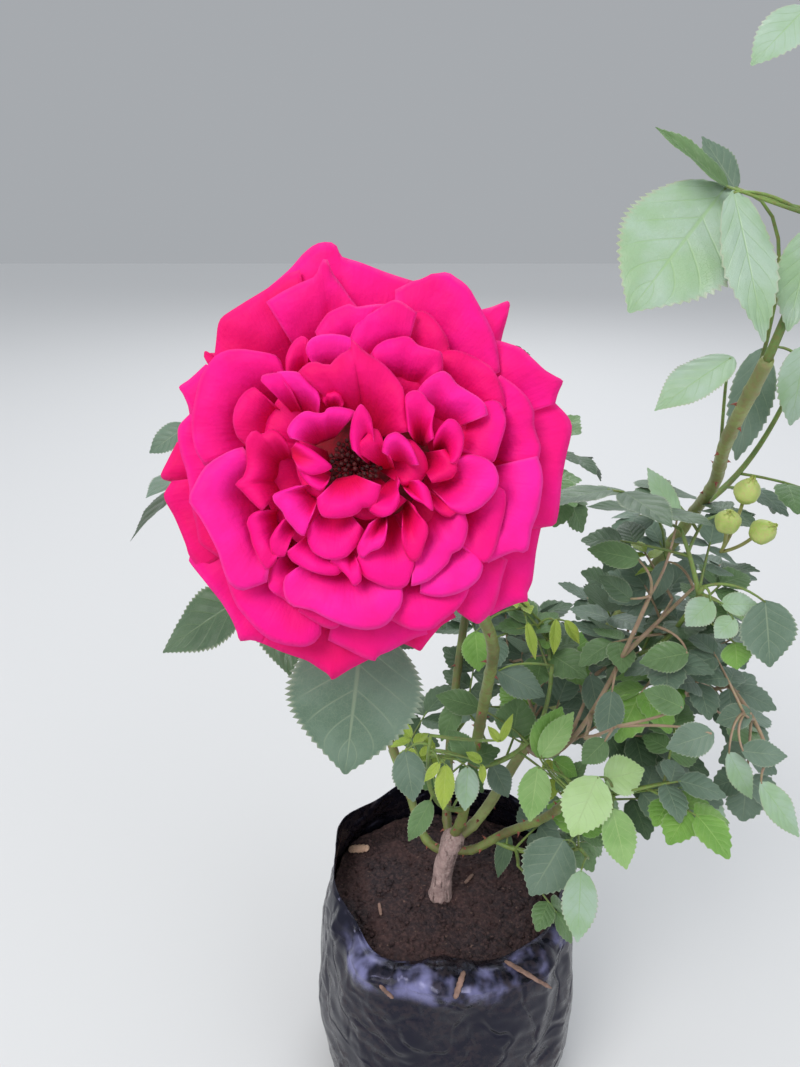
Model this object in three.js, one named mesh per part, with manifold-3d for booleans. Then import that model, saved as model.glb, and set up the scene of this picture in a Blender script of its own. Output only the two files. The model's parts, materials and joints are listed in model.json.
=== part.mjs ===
// A young rose bush in a black film grow bag, with one large open bloom.
// Units are millimetres, +Z is up, and the origin is the middle of the bag's flat underside.
// The bloom faces -Y. The bush leans out over the bag towards +X and -Y.
import * as THREE from "three";
import { mergeVertices } from "three/addons/utils/BufferGeometryUtils.js";
import Module from "manifold-3d";

const wasm = await Module();
wasm.setup();

// Driving dimensions

const CLEAR = 0.3; // gap between a piece and the piece that carries it
const SOIL_TOP = 145;
const BAG = {
  baseRadius: 80,
  bellyRadius: 90,
  squareness: 2.7, // exponent of the rounded square outline
  squareShare: 0.75, // how much of that outline shows, from round to fully square
  turnUnder: 3, // how far the foot is drawn in round the flat underside
  height: 172,
  film: 1.6,
  foldReach: 27, // how far the front of the rim lies in over the soil
  foldHeight: 156,
};
const BLOOM = {
  centre: [-42, -207, 534], // middle of the circle through the outer petal tips
  faces: [0.042, -0.946, 0.322],
  depth: 28, // from the centre back to the petals' common foot
  hipLength: 9,
  hipRadii: [3.2, 5.6, 6.8],
  petal: 1.0, // thickness
  raise: 3, // how far every second petal of a ring stands in front of its neighbours
};
const SEPAL = { length: 24, width: 7, sweep: -0.95 };
const BUD_RADIUS = 5.5;
const BUD_OFFSETS = [[5, -11, 36], [-6, -14, 24], [12, -16, 18]]; // from the tip of their stem
const GOLDEN_ANGLE = 137.5;
const SLIVER = 0.02; // edges shorter than this are closed up where solids are joined

// Proportions of a compound leaf. Lengths are shares of the length of its last leaflet.
const LEAF = {
  thickness: 1.0, // millimetres, of a leaflet
  stalkRadius: 0.95, // millimetres
  stalkToBend: 0.7,
  bendToEnd: 0.5,
  droop: 0.3, // the most that the end of the stalk hangs
  tipDroop: [0.15, 0.6], // least and most that the last leaflet's tip hangs
  widths: [0.7, 0.84],
  spread: [64, 74], // degrees between the stalk and its side leaflets
  pairsAt: [[], [0.78], [0.93, 0.5]], // shares of the stalk that bear one, two or no pairs
  pairSizes: [0.9, 0.74],
};
const STEM_RADII = [1.9, 1.1]; // of a mass's main stem, at its seat and its tip
const TWIG_RADII = [1.3, 0.9];
const LEAF_ROOM = 5.6; // least distance between points sampled on leaves of two pieces
const LIMB_ROOM = 4.2; // and between such a point and a limb's surface
const LEAF_TRIES = 7; // bearings tried for each leaf before its place on the stem is left bare

// Limbs, each after the one that carries it: where it is seated, how it leaves its seat, the points
// that its middle passes through from there, and its radius at each end
const LIMBS = {
  trunk: { foot: [-5, -1, SOIL_TOP + CLEAR], path: [[-2.5, 0, 172], [4, 0, 201]], radii: [6.6, 6.6] },
  bloom_cane_lower: {
    on: "trunk", at: "tip", leave: [0.2, -0.3, 0.93],
    path: [[10, -14, 250], [13, -29, 307], [14, -50, 353]], radii: [3.5, 3.1],
  },
  bloom_cane_upper: {
    on: "bloom_cane_lower", at: "tip", leave: [0.02, -0.42, 0.9],
    path: [[11, -82, 400], [-6, -112, 448], [-28, -135, 492], [-42, -154, 514.5], [-43.5, -163, 519], [-43.6, -171.3, 521.9]],
    radii: [3.1, 2.7],
  },
  tall_cane_lower: {
    on: "trunk", at: 0.88, leave: [0.8, 0.25, 0.55],
    path: [[50, 14, 262], [96, 16, 350], [129, 6, 424]], radii: [3.7, 3.3],
  },
  tall_cane_upper: {
    on: "tall_cane_lower", at: "tip", leave: [0.1, -0.5, 0.86],
    path: [[124, -34, 463], [110, -73, 497], [103, -113, 541]], radii: [3.3, 2.8],
  },
  right_cane: {
    on: "trunk", at: 0.74, leave: [0.85, -0.4, 0.35],
    path: [[34, -15, 214], [52, -36, 246], [60, -62, 283]], radii: [3.0, 2.5],
  },
  back_cane: {
    on: "trunk", at: 0.8, leave: [-0.1, 0.85, 0.5],
    path: [[2, 40, 246], [12, 74, 322], [26, 96, 396]], radii: [3.3, 2.6],
  },
  left_cane: {
    on: "trunk", at: 0.66, leave: [-0.85, 0.3, 0.45],
    path: [[-30, 18, 232], [-52, 30, 294], [-62, 34, 352]], radii: [3.1, 2.5],
  },
};
const TRUNK_FLARE = 3.2; // how much wider the woody stub is where it leaves the soil
const TRUNK_SWELLING = 1.2; // and where the green canes spring from it

// Compound leaves that show one by one, each on its limb: where the leaf stalk leaves the limb,
// where it bends, where its last leaflet is joined on, and which way the leaf's upper side faces
const SINGLE_LEAVES = {
  leaf_under_bloom: {
    on: "bloom_cane_upper", at: 0.6, leave: [-0.3, -0.9, -0.15],
    bend: [-36, -160, 482], end: [-45, -188, 470], tip: [-51, -203, 424], faces: [0.05, -0.95, 0.3],
    leaflet: 47, width: 0.86, pairs: 1,
  },
  leaf_left_lower: {
    on: "bloom_cane_upper", at: 0.68, leave: [-1, 0.1, -0.3],
    bend: [-62, -140, 482], end: [-86, -152, 465], tip: [-124, -163, 446], faces: [-0.15, -0.45, 0.85],
    leaflet: 42, width: 0.6, pairs: 1,
  },
  leaf_left_upper: {
    on: "bloom_cane_upper", at: 0.8, leave: [-1, 0.25, 0.1],
    bend: [-78, -128, 520], end: [-108, -134, 505], tip: [-137, -146, 480], faces: [0.1, 0.35, 0.9],
    leaflet: 36, width: 0.62, pairs: 2,
  },
  leaf_right_of_bloom: {
    on: "tall_cane_lower", at: 0.93, leave: [-0.3, -0.95, 0.1],
    bend: [92, -62, 468], end: [58, -82, 478], tip: [24, -97, 478], faces: [0.1, -0.35, 0.9],
    leaflet: 42, width: 0.66, pairs: 2,
  },
  leaf_top_front: {
    on: "tall_cane_upper", at: 0.93, leave: [0.75, 0.55, 0.4],
    bend: [124, -86, 600], end: [88, -94, 601], tip: [50, -118, 560], faces: [-0.1, -0.75, 0.65],
    leaflet: 58, width: 0.66, pairs: 1,
  },
  leaf_top_middle: {
    on: "tall_cane_upper", at: 0.62, leave: [-0.9, -0.1, 0.3],
    bend: [98, -88, 536], end: [92, -106, 540], tip: [62, -115, 524], faces: [0.05, -0.3, 0.95],
    leaflet: 36, width: 0.6, pairs: 0,
  },
};

// Masses of foliage: the stem's seat, the point it grows to, the half sizes of the space it keeps to,
// the seed of its rule, how many leaves its stem and each of its twigs bear, and its leaflets' length
const MASSES = {
  foliage_top: {
    on: "tall_cane_upper", at: "tip", leave: [0.3, 0.1, 0.95],
    reach: [128, -90, 622], space: [100, 90, 96], seed: 13, leaves: 6, twigs: 0, twigLeaves: 0, leaflet: 46,
  },
  foliage_right_upper: {
    on: "tall_cane_upper", at: 0.3, leave: [0.85, 0.3, 0.4],
    reach: [166, -14, 520], space: [92, 86, 88], seed: 23, leaves: 6, twigs: 2, twigLeaves: 2, leaflet: 38,
  },
  bud_cluster: {
    on: "tall_cane_lower", at: 0.72, leave: [0.25, -0.95, 0.1],
    reach: [114, -78, 446], space: [70, 64, 74], seed: 31, leaves: 5, twigs: 1, twigLeaves: 2, leaflet: 35,
    buds: true,
  },
  foliage_far_right: {
    on: "tall_cane_lower", at: 0.62, leave: [0.95, -0.25, -0.1],
    reach: [158, -58, 366], space: [88, 92, 86], seed: 47, leaves: 7, twigs: 3, twigLeaves: 3, leaflet: 40,
  },
  foliage_right_middle: {
    on: "tall_cane_lower", at: 0.5, leave: [0.1, -0.95, 0.3],
    reach: [88, -68, 418], space: [88, 80, 84], seed: 59, leaves: 7, twigs: 3, twigLeaves: 2, leaflet: 38,
  },
  foliage_middle: {
    on: "bloom_cane_lower", at: 0.6, leave: [0.95, -0.1, 0.2],
    reach: [48, -46, 372], space: [78, 72, 78], seed: 53, leaves: 7, twigs: 3, twigLeaves: 2, leaflet: 37,
  },
  foliage_right_front: {
    on: "right_cane", at: "tip", leave: [0.25, -0.6, 0.75],
    reach: [76, -92, 316], space: [80, 78, 76], seed: 67, leaves: 7, twigs: 2, twigLeaves: 2, leaflet: 39,
  },
  foliage_right_low: {
    on: "right_cane", at: 0.42, leave: [0.85, -0.35, -0.3],
    reach: [88, -40, 232], space: [76, 72, 62], seed: 71, leaves: 5, twigs: 1, twigLeaves: 2, leaflet: 36,
  },
  foliage_low_centre: {
    on: "bloom_cane_lower", at: 0.36, leave: [-0.65, -0.6, 0.45],
    reach: [-16, -52, 322], space: [64, 60, 64], seed: 85, leaves: 6, twigs: 1, twigLeaves: 2, leaflet: 31,
  },
  foliage_back: {
    on: "back_cane", at: "tip", leave: [-0.1, 0.3, 0.95],
    reach: [12, 112, 442], space: [92, 84, 90], seed: 97, leaves: 7, twigs: 3, twigLeaves: 2, leaflet: 38,
  },
  foliage_back_low: {
    on: "back_cane", at: 0.5, leave: [0.5, 0.85, 0.1],
    reach: [66, 98, 300], space: [88, 80, 82], seed: 103, leaves: 6, twigs: 2, twigLeaves: 2, leaflet: 38,
  },
  foliage_left: {
    on: "left_cane", at: "tip", leave: [-0.1, 0.2, 0.95],
    reach: [-66, 52, 408], space: [84, 80, 82], seed: 113, leaves: 6, twigs: 2, twigLeaves: 2, leaflet: 37,
  },
  foliage_left_low: {
    on: "left_cane", at: 0.45, leave: [-0.4, 0.9, 0.1],
    reach: [-58, 74, 292], space: [80, 76, 72], seed: 131, leaves: 5, twigs: 1, twigLeaves: 2, leaflet: 36,
  },
};

// Petals, ring by ring from the back of the bloom to its eye. root and bend are points of each
// petal's middle line as [distance from the axis, height], and lift is the height of its tip. point
// draws its corners back, roll curls its edges down, and faces is how finely it is divided across
// and along. The rows are [bearing, reach, width], with bearings in degrees anticlockwise from the
// bloom's right as it is looked at.
const PETAL_RINGS = [
  {
    root: [16, -15], bend: [36, -5], lift: -10, point: 0.13, roll: 4, faces: [2, 2],
    petals: [
      [99, 59, 50], [70, 54, 38], [47, 57, 40], [19, 57, 46], [-18, 55, 42], [-42, 58, 42], [-72, 54, 38],
      [-98, 60, 42], [-124, 59, 46], [-150, 55, 42], [-174, 56, 42], [157, 55, 42], [133, 56, 44],
    ],
  },
  {
    root: [14, -12], bend: [33, 2], lift: -3, point: 0.12, roll: 2, faces: [2, 2],
    petals: [
      [84, 52, 46], [32, 53, 44], [1, 53, 44], [-56, 53, 44], [-108, 53, 48], [-160, 52, 46], [146, 51, 44],
    ],
  },
  {
    root: [12, -8], bend: [27, 9], lift: 4, point: 0.1, roll: 1, faces: [2, 2],
    petals: [
      [58, 43, 42], [8, 42, 40], [-36, 42, 40], [-88, 44, 44], [-138, 42, 38], [170, 39, 40], [116, 41, 42],
    ],
  },
  {
    root: [9, -3], bend: [19, 12], lift: 10, point: 0.05, roll: 0, faces: [2, 2],
    petals: [[88, 31, 36], [28, 30, 30], [-30, 32, 32], [-90, 33, 34], [-150, 31, 34], [148, 31, 32]],
  },
  {
    root: [5, -4], bend: [10, 10], lift: 13, point: 0, roll: -1, faces: [2, 1],
    petals: [[60, 18, 20], [-30, 19, 20], [-120, 18, 20], [150, 19, 20]],
  },
];
// The closely packed foot of the petals, as [radius, height] from the back to the eye
const BLOOM_CORE = [
  [0, -BLOOM.depth], [9, -27], [21, -17], [30, -9], [32, -3], [25, 4], [14, 6], [7, 3], [0, -6],
];

const LOOKS = {
  leaf: { color: 0x46693f, roughness: 0.5, metalness: 0 },
  cane: { color: 0x6f8a3c, roughness: 0.55, metalness: 0 },
  bark: { color: 0x7d6656, roughness: 0.9, metalness: 0 },
  petal: { color: 0xe5125f, roughness: 0.6, metalness: 0 },
  film: { color: 0x16171d, roughness: 0.3, metalness: 0 },
  soil: { color: 0x2c1f1c, roughness: 1, metalness: 0 },
};

// Small vector sums

const vector = (a) => new THREE.Vector3(...a);
const radians = THREE.MathUtils.degToRad;
const mix = THREE.MathUtils.lerp;
const NUDGE = 0.01; // the step over which directions are measured

// Point at share t of the arc from a start to an end, drawn towards a bend.
function onArc({ start, bend, end }, t) {
  return start
    .clone()
    .multiplyScalar((1 - t) * (1 - t))
    .addScaledVector(bend, 2 * t * (1 - t))
    .addScaledVector(end, t * t);
}

// Direction of such an arc at share t.
function arcAlong(arc, t) {
  return onArc(arc, t + NUDGE).sub(onArc(arc, t - NUDGE)).normalize();
}

// Points along such an arc, evenly by share, its start left out.
function arcPoints(arc, count) {
  return Array.from({ length: count }, (_, i) => onArc(arc, (i + 1) / count));
}

// Two unit vectors at right angles to a direction and to each other.
function sidesOf(along) {
  const hint = Math.abs(along.z) < 0.8 ? new THREE.Vector3(0, 0, 1) : new THREE.Vector3(0, 1, 0);
  const across = hint.cross(along).normalize();
  return [across, across.clone().cross(along)];
}

// Repeatable random numbers between two limits: a linear congruential sequence.
function seeded(seed) {
  const modulus = 2147483647;
  let state = seed * 7919 + 17;
  return (least = 0, most = 1) => {
    state = (state * 16807) % modulus;
    return mix(least, most, state / modulus);
  };
}

// Booleans

// A closed three.js geometry as a manifold solid.
function solidOf(geometry) {
  const bare = new THREE.BufferGeometry().setAttribute("position", geometry.getAttribute("position"));
  bare.setIndex(geometry.index);
  const merged = mergeVertices(bare);
  return new wasm.Manifold(
    new wasm.Mesh({
      numProp: 3,
      vertProperties: new Float32Array(merged.getAttribute("position").array),
      triVerts: new Uint32Array(merged.index.array),
    }),
  );
}

// Joins closed geometries into one, and keeps only the largest body of what comes out.
function fuse(geometries) {
  const joined = geometries.map(solidOf).reduce((a, b) => a.add(b));
  const body = joined.asOriginal().simplify(SLIVER).decompose().sort((a, b) => b.volume() - a.volume())[0];
  const mesh = body.getMesh();
  const geometry = new THREE.BufferGeometry();
  geometry.setAttribute("position", new THREE.BufferAttribute(mesh.vertProperties, 3));
  geometry.setIndex(new THREE.BufferAttribute(mesh.triVerts, 1));
  geometry.computeVertexNormals();
  return geometry;
}

// Tubes

// A tapering tube along a path: a cylinder whose rings are carried along it.
// With level set, every ring stays horizontal, so that both ends are flat cuts.
function tube(pointAt, radiusAt, sides, steps, level = false) {
  const shape = new THREE.CylinderGeometry(1, 1, 1, sides, steps);
  const place = shape.getAttribute("position");
  for (let i = 0; i < place.count; i++) {
    const t = place.getY(i) + 0.5;
    const along = pointAt(Math.min(1, t + NUDGE)).sub(pointAt(Math.max(0, t - NUDGE))).normalize();
    if (level) along.set(0, 0, 1);
    const [across, over] = sidesOf(along);
    const middle = pointAt(t);
    middle.addScaledVector(across, place.getX(i) * radiusAt(t));
    middle.addScaledVector(over, place.getZ(i) * radiusAt(t));
    place.setXYZ(i, middle.x, middle.y, middle.z);
  }
  return shape;
}

// Limbs

const CANE_SIDES = 6;
const curves = {};

function limbPoint(name, t) {
  return curves[name].getPoint(t);
}

function limbAlong(name, t) {
  return limbPoint(name, Math.min(1, t + NUDGE)).sub(limbPoint(name, Math.max(0, t - NUDGE))).normalize();
}

function limbRadius(name, t) {
  const taper = mix(...LIMBS[name].radii, t);
  if (name !== "trunk") return taper;
  return taper + TRUNK_FLARE * Math.exp(-t * 7) + TRUNK_SWELLING * Math.exp(-(((t - 0.85) / 0.14) ** 2));
}

// A limb's solid. The trunk's rings are level, so that it is cut flat at the soil and at its top.
function limbTube(name) {
  const woody = name === "trunk";
  return tube((t) => limbPoint(name, t), (t) => limbRadius(name, t), woody ? 12 : CANE_SIDES, 8, woody);
}

// Where a stem starts: moved out along its first direction, from the middle line of the limb that it
// grows on, until its flat end stands clear of that limb.
function seatOn({ on, at, leave }, radius, sides) {
  const out = vector(leave).normalize();
  const from = limbPoint(on, at === "tip" ? 1 : at);
  const startAt = (reach) => from.clone().addScaledVector(out, reach);
  const carrier = solidOf(limbTube(on));
  const farthest = 40;
  let [near, far] = [0, farthest];
  while (far - near > CLEAR / 10) {
    const reach = (near + far) / 2;
    const stub = solidOf(tube((t) => startAt(reach + t * radius), () => radius, sides, 1));
    if (stub.minGap(carrier, farthest) > CLEAR) far = reach;
    else near = reach;
  }
  return startAt(far);
}

for (const [name, spec] of Object.entries(LIMBS)) {
  const points = spec.path.map(vector);
  if (spec.foot) {
    points.unshift(vector(spec.foot));
  } else {
    const seat = seatOn(spec, spec.radii[0], CANE_SIDES);
    points.unshift(seat, seat.clone().addScaledVector(vector(spec.leave).normalize(), 2 * spec.radii[0]));
  }
  curves[name] = new THREE.CatmullRomCurve3(points, false, "centripetal");
}

function limb(name) {
  return [name, limbTube(name), name === "trunk" ? LOOKS.bark : LOOKS.cane];
}

// Leaves

// One leaflet: a flat blade of 4 or 6 corners, drawn out to an egg shape with a point.
function leafletSolid({ base, along, faces, length, width }, corners) {
  const blade = new THREE.SphereGeometry(1, corners, 2);
  const place = blade.getAttribute("position");
  const across = along.clone().cross(faces);
  const widest = 0.45;
  for (let i = 0; i < place.count; i++) {
    const [x, y, z] = [place.getX(i), place.getY(i), place.getZ(i)];
    const onRim = Math.abs(y) < 0.5;
    const share = onRim ? 0.5 + 0.5 * x - 0.07 * Math.abs(z) : widest;
    const side = onRim ? Math.sign(Math.round(z * 10)) * (width / 2) : 0;
    const point = base
      .clone()
      .addScaledVector(along, share * length)
      .addScaledVector(across, side)
      .addScaledVector(faces, onRim ? 0 : (y * LEAF.thickness) / 2);
    place.setXYZ(i, point.x, point.y, point.z);
  }
  return blade;
}

// The part of a direction that is square to another.
function squareTo(direction, axis) {
  return direction.clone().addScaledVector(axis, -direction.dot(axis)).normalize();
}

// A compound leaf: the arc of its stalk, and its leaflets. The last one points from the end of the
// stalk to tip, and faces is the way the upper side looks.
function compoundLeaf({ start, bend, end, tip, faces, leaflet, width, pairs }, random) {
  const stalk = { start, bend, end };
  const last = tip.clone().sub(end).normalize();
  const leaflets = [{ base: end.clone().addScaledVector(last, -1.5), along: last, faces, length: leaflet }];
  LEAF.pairsAt[pairs].forEach((t, p) => {
    const along = arcAlong(stalk, t);
    const side = faces.clone().cross(along).normalize();
    for (const hand of [1, -1]) {
      const spread = radians(random(...LEAF.spread));
      const out = along
        .clone()
        .multiplyScalar(Math.cos(spread))
        .addScaledVector(side, hand * Math.sin(spread))
        .addScaledVector(faces, -random(0.12, 0.32))
        .normalize();
      leaflets.push({
        base: onArc(stalk, t).addScaledVector(along, hand * 1.3),
        along: out,
        faces: faces.clone().addScaledVector(side, hand * random(-0.2, 0.1)),
        length: leaflet * LEAF.pairSizes[p],
      });
    }
  });
  for (const each of leaflets) {
    each.faces = squareTo(each.faces, each.along);
    each.width = each.length * width;
  }
  return { stalk, leaflets };
}

function leafSolids({ stalk, leaflets }, corners) {
  const stalkSolid = tube((t) => onArc(stalk, t), (t) => LEAF.stalkRadius * mix(1.15, 0.85, t), 3, 2);
  return [stalkSolid, ...leaflets.map((leaflet) => leafletSolid(leaflet, corners))];
}

// Points spread over a leaf's blades: [share of the length, half width there as a share].
const BLADE_SAMPLES = [[0.2, 0.75], [0.4, 1], [0.6, 0.95], [0.8, 0.6], [1, 0]];

function bladePoints({ leaflets }) {
  return leaflets.flatMap(({ base, along, faces, length, width }) => {
    const across = faces.clone().cross(along);
    return BLADE_SAMPLES.flatMap(([share, half]) =>
      (half ? [-1, 0, 1] : [0]).map((side) =>
        base
          .clone()
          .addScaledVector(along, share * length)
          .addScaledVector(across, (side * half * width) / 2),
      ),
    );
  });
}

function stalkPoints({ stalk }) {
  return [0.35, 0.6, 0.8, 1].map((t) => onArc(stalk, t));
}

// Room: points of what already stands, each with the distance that other pieces keep from it
const standing = [];

function stand(points, owner, room = LEAF_ROOM) {
  for (const point of points) standing.push({ owner, point, room });
}

function standLimbs() {
  for (const name of Object.keys(LIMBS))
    for (let t = 0; t <= 1; t += 1 / 64) stand([limbPoint(name, t)], name, limbRadius(name, t) + LIMB_ROOM);
  stand([inBloom(0, 0, -24)], "bloom", 20);
  stand([inBloom(0, 0, -8)], "bloom", 62);
  for (const [name, { buds, reach }] of Object.entries(MASSES)) {
    stand(arcPoints(stemOf(name), 24), name);
    if (buds) stand(BUD_OFFSETS.map((offset) => vector(offset).add(vector(reach))), name, 3 * BUD_RADIUS);
  }
}

function hasRoom(points, owner) {
  return points.every((p) =>
    standing.every((s) => s.owner === owner || s.point.distanceToSquared(p) > s.room ** 2),
  );
}

function clearOf(points, others) {
  return points.every((p) => others.every((q) => q.distanceToSquared(p) > LEAF_ROOM ** 2));
}

// Leaves shown one by one

function singleLeaf(name) {
  const spec = SINGLE_LEAVES[name];
  const [bend, end, tip] = [spec.bend, spec.end, spec.tip].map(vector);
  const start = seatOn(spec, 1.15 * LEAF.stalkRadius, 3);
  const faces = vector(spec.faces).normalize();
  const leaf = compoundLeaf({ ...spec, start, bend, end, tip, faces }, seeded(5));
  stand([...stalkPoints(leaf), ...bladePoints(leaf)], name);
  return [name, fuse(leafSolids(leaf, 6)), LOOKS.leaf];
}

// Masses of foliage

// A mass's main stem: it leaves its seat squarely and bends round to the point that it grows to.
function stemOf(name) {
  const spec = MASSES[name];
  const start = seatOn(spec, STEM_RADII[0], 4);
  const end = vector(spec.reach);
  const bend = start.clone().addScaledVector(vector(spec.leave).normalize(), start.distanceTo(end) * 0.45);
  return { start, bend, end, radii: STEM_RADII };
}

// A direction square to another, at a bearing in degrees round it.
function around(along, bearing) {
  const [across, over] = sidesOf(along);
  return across.multiplyScalar(Math.cos(radians(bearing))).addScaledVector(over, Math.sin(radians(bearing)));
}

// A leaf growing from a stem at share t, at a bearing round it.
function leafOn(stem, t, bearing, leaflet, random) {
  const start = onArc(stem, t);
  const along = arcAlong(stem, t);
  const out = around(along, bearing).multiplyScalar(0.86).addScaledVector(along, 0.5).normalize();
  const size = leaflet * random(0.8, 1.12);
  const bend = start.clone().addScaledVector(out, size * LEAF.stalkToBend);
  const end = bend.clone().addScaledVector(out, size * LEAF.bendToEnd);
  end.z -= size * random(0, LEAF.droop);
  const tip = end.clone().addScaledVector(out, size);
  tip.z -= size * random(...LEAF.tipDroop);
  const faces = new THREE.Vector3(random(-0.3, 0.3), random(-0.55, 0.1), 1).normalize();
  const width = random(...LEAF.widths);
  return compoundLeaf({ start, bend, end, tip, faces, leaflet: size, width, pairs: 1 }, random);
}

// A twig growing from a mass's main stem, turned up towards the light.
function twigOn(stem, t, bearing, length) {
  const start = onArc(stem, t);
  const out = around(stem.end.clone().sub(stem.start).normalize(), bearing);
  out.z += 0.45;
  const end = start.clone().addScaledVector(out.normalize(), length);
  end.z += 0.2 * length;
  return { start, bend: start.clone().lerp(end, 0.5), end, radii: TWIG_RADII };
}

// The twigs and leaves of one mass: leaves spiral up the stem and up each twig by the golden angle.
// A twig or leaf that would leave the mass's space or touch another piece is left out.
function growMass(name) {
  const spec = MASSES[name];
  const random = seeded(spec.seed);
  const main = stemOf(name);
  const middle = main.start.clone().lerp(main.end, 0.55);
  const inSpace = (p) => p.clone().sub(middle).divide(vector(spec.space)).length() < 1;
  const stems = [main];
  const leaves = [];
  const blades = [];
  let bearing = random(0, 360);

  for (let k = 0; k < spec.twigs; k++) {
    const t = spec.twigs > 1 ? mix(0.3, 0.8, k / (spec.twigs - 1)) : 0.5;
    const twig = twigOn(main, t, random(0, 360) + k * GOLDEN_ANGLE, 0.62 * Math.min(...spec.space));
    const points = arcPoints(twig, 10);
    if (points.every(inSpace) && hasRoom(points, name)) stems.push(twig);
  }
  for (const stem of stems) {
    const [count, lowest] = stem === main ? [spec.leaves, 0.28] : [spec.twigLeaves, 0.45];
    for (let k = 0; k < count; k++) {
      for (let tries = 0; tries < LEAF_TRIES; tries++) {
        bearing += GOLDEN_ANGLE;
        const leaf = leafOn(stem, mix(lowest, 0.97, k / (count - 1)), bearing, spec.leaflet, random);
        const points = bladePoints(leaf);
        const all = [...points, ...stalkPoints(leaf)];
        if (!all.every(inSpace) || !hasRoom(all, name) || !clearOf(all, blades)) continue;
        leaves.push(leaf);
        blades.push(...points);
        break;
      }
    }
  }
  return { stems, leaves };
}

// A closed green bud on its stalk.
function budSolids(from, to) {
  const out = to.clone().sub(from).normalize();
  const stalk = tube((t) => from.clone().lerp(to, t), () => LEAF.stalkRadius, 3, 1);
  const bud = tube(
    (t) => to.clone().addScaledVector(out, (t - 0.1) * BUD_RADIUS * 2.6),
    (t) => BUD_RADIUS * [0.45, 0.95, 0.95, 0.55, 0.12][Math.round(t * 4)],
    6,
    4,
  );
  return [stalk, bud];
}

function mass(name) {
  const spec = MASSES[name];
  const { stems, leaves } = growMass(name);
  const solids = stems.map((stem, i) =>
    tube((t) => onArc(stem, t), (t) => mix(...stem.radii, t), i ? 3 : 4, i ? 2 : 4),
  );
  for (const leaf of leaves) {
    stand([...stalkPoints(leaf), ...bladePoints(leaf)], name);
    solids.push(...leafSolids(leaf, 4));
  }
  for (const stem of stems) stand(arcPoints(stem, 10), name);
  if (spec.buds)
    for (const offset of BUD_OFFSETS)
      solids.push(...budSolids(vector(spec.reach), vector(spec.reach).add(vector(offset))));
  return [name, fuse(solids), LOOKS.leaf];
}

// The bloom

const bloomOut = vector(BLOOM.faces).normalize();
const bloomRight = new THREE.Vector3(0, 0, 1).cross(bloomOut).normalize();
const bloomUp = bloomOut.clone().cross(bloomRight);

// A point of the bloom's own frame (right, up, out) in the part's frame.
function inBloom(right, up, out) {
  return vector(BLOOM.centre)
    .addScaledVector(bloomRight, right)
    .addScaledVector(bloomUp, up)
    .addScaledVector(bloomOut, out);
}

// Middle surface of a petal, at u from -1 to 1 across it and v from 0 at its root to 1 at its tip.
function petalPoint(ring, [bearing, reach, width], raise, u, v) {
  const tip = [reach, ring.lift];
  const bend = [(ring.bend[0] + 0.55 * reach) / 2, ring.bend[1]];
  const curve = (i) => (1 - v) ** 2 * ring.root[i] + 2 * v * (1 - v) * bend[i] + v * v * tip[i];
  const half = (width / 2) * Math.sin(Math.PI * (0.2 + 0.48 * v));
  const distance = curve(0) * (1 - 0.5 * ring.point * (u * v) ** 2);
  const height = curve(1) - ring.roll * (u * v) ** 2 + raise * v;
  const turned = radians(bearing) + (0.7 * u * half) / Math.max(distance, 12);
  const side = 0.3 * u * half;
  const right = distance * Math.cos(turned) - side * Math.sin(turned);
  const up = distance * Math.sin(turned) + side * Math.cos(turned);
  return inBloom(right, up, height);
}

// One petal: a box of many faces bent to the petal's surface.
function petalSolid(ring, petal, raise) {
  const shape = new THREE.BoxGeometry(2, 1, 1, ...ring.faces, 1);
  const place = shape.getAttribute("position");
  for (let i = 0; i < place.count; i++) {
    const [u, v, side] = [place.getX(i), place.getY(i) + 0.5, place.getZ(i)];
    const at = (du, dv) => petalPoint(ring, petal, raise, u + du, v + dv);
    const across = at(NUDGE, 0).sub(at(-NUDGE, 0));
    const along = at(0, NUDGE).sub(at(0, -NUDGE));
    const point = at(0, 0).addScaledVector(across.cross(along).normalize(), side * BLOOM.petal);
    place.setXYZ(i, point.x, point.y, point.z);
  }
  return shape;
}

function bloomPetals() {
  const core = new THREE.LatheGeometry(BLOOM_CORE.map(([r, h]) => new THREE.Vector2(r, h)), 12);
  const place = core.getAttribute("position");
  for (let i = 0; i < place.count; i++) {
    const point = inBloom(place.getZ(i), place.getX(i), place.getY(i));
    place.setXYZ(i, point.x, point.y, point.z);
  }
  const petals = PETAL_RINGS.flatMap((ring) =>
    ring.petals.map((petal, k) => petalSolid(ring, petal, (k % 2) * BLOOM.raise)),
  );
  return ["bloom_petals", fuse([core, ...petals]), LOOKS.petal];
}

// Hip and sepals behind the petals, seated on the cane's tip.
function bloomCalyx() {
  const back = -BLOOM.depth - CLEAR;
  const hip = tube(
    (t) => inBloom(0, 0, mix(back - BLOOM.hipLength, back, t)),
    (t) => BLOOM.hipRadii[Math.round(t * 2)],
    8,
    2,
  );
  const sepals = [0, 1, 2, 3, 4].map((k) => {
    const a = radians(90 + k * 72);
    const along = inBloom(Math.cos(a), Math.sin(a), SEPAL.sweep).sub(vector(BLOOM.centre)).normalize();
    const base = inBloom(3 * Math.cos(a), 3 * Math.sin(a), back - 1.8);
    return leafletSolid({ ...SEPAL, base, along, faces: squareTo(bloomOut, along) }, 4);
  });
  return ["bloom_calyx", fuse([hip, ...sepals]), LOOKS.leaf];
}

// Bag and soil

const BAG_TURNS = 36;
const BAG_WALL = [0, 8, 50, 95, 140]; // heights of the rings up the bag's outside
const BAG_COLLAR = [0.2, 0.55, 0.8, 1]; // shares of the collar that stands above the soil

// How far the rim leans in over the soil: 1 at the middle of the front, 0 round the back.
function frontness(a) {
  return Math.max(0, -Math.sin(a)) ** 1.3;
}

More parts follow.
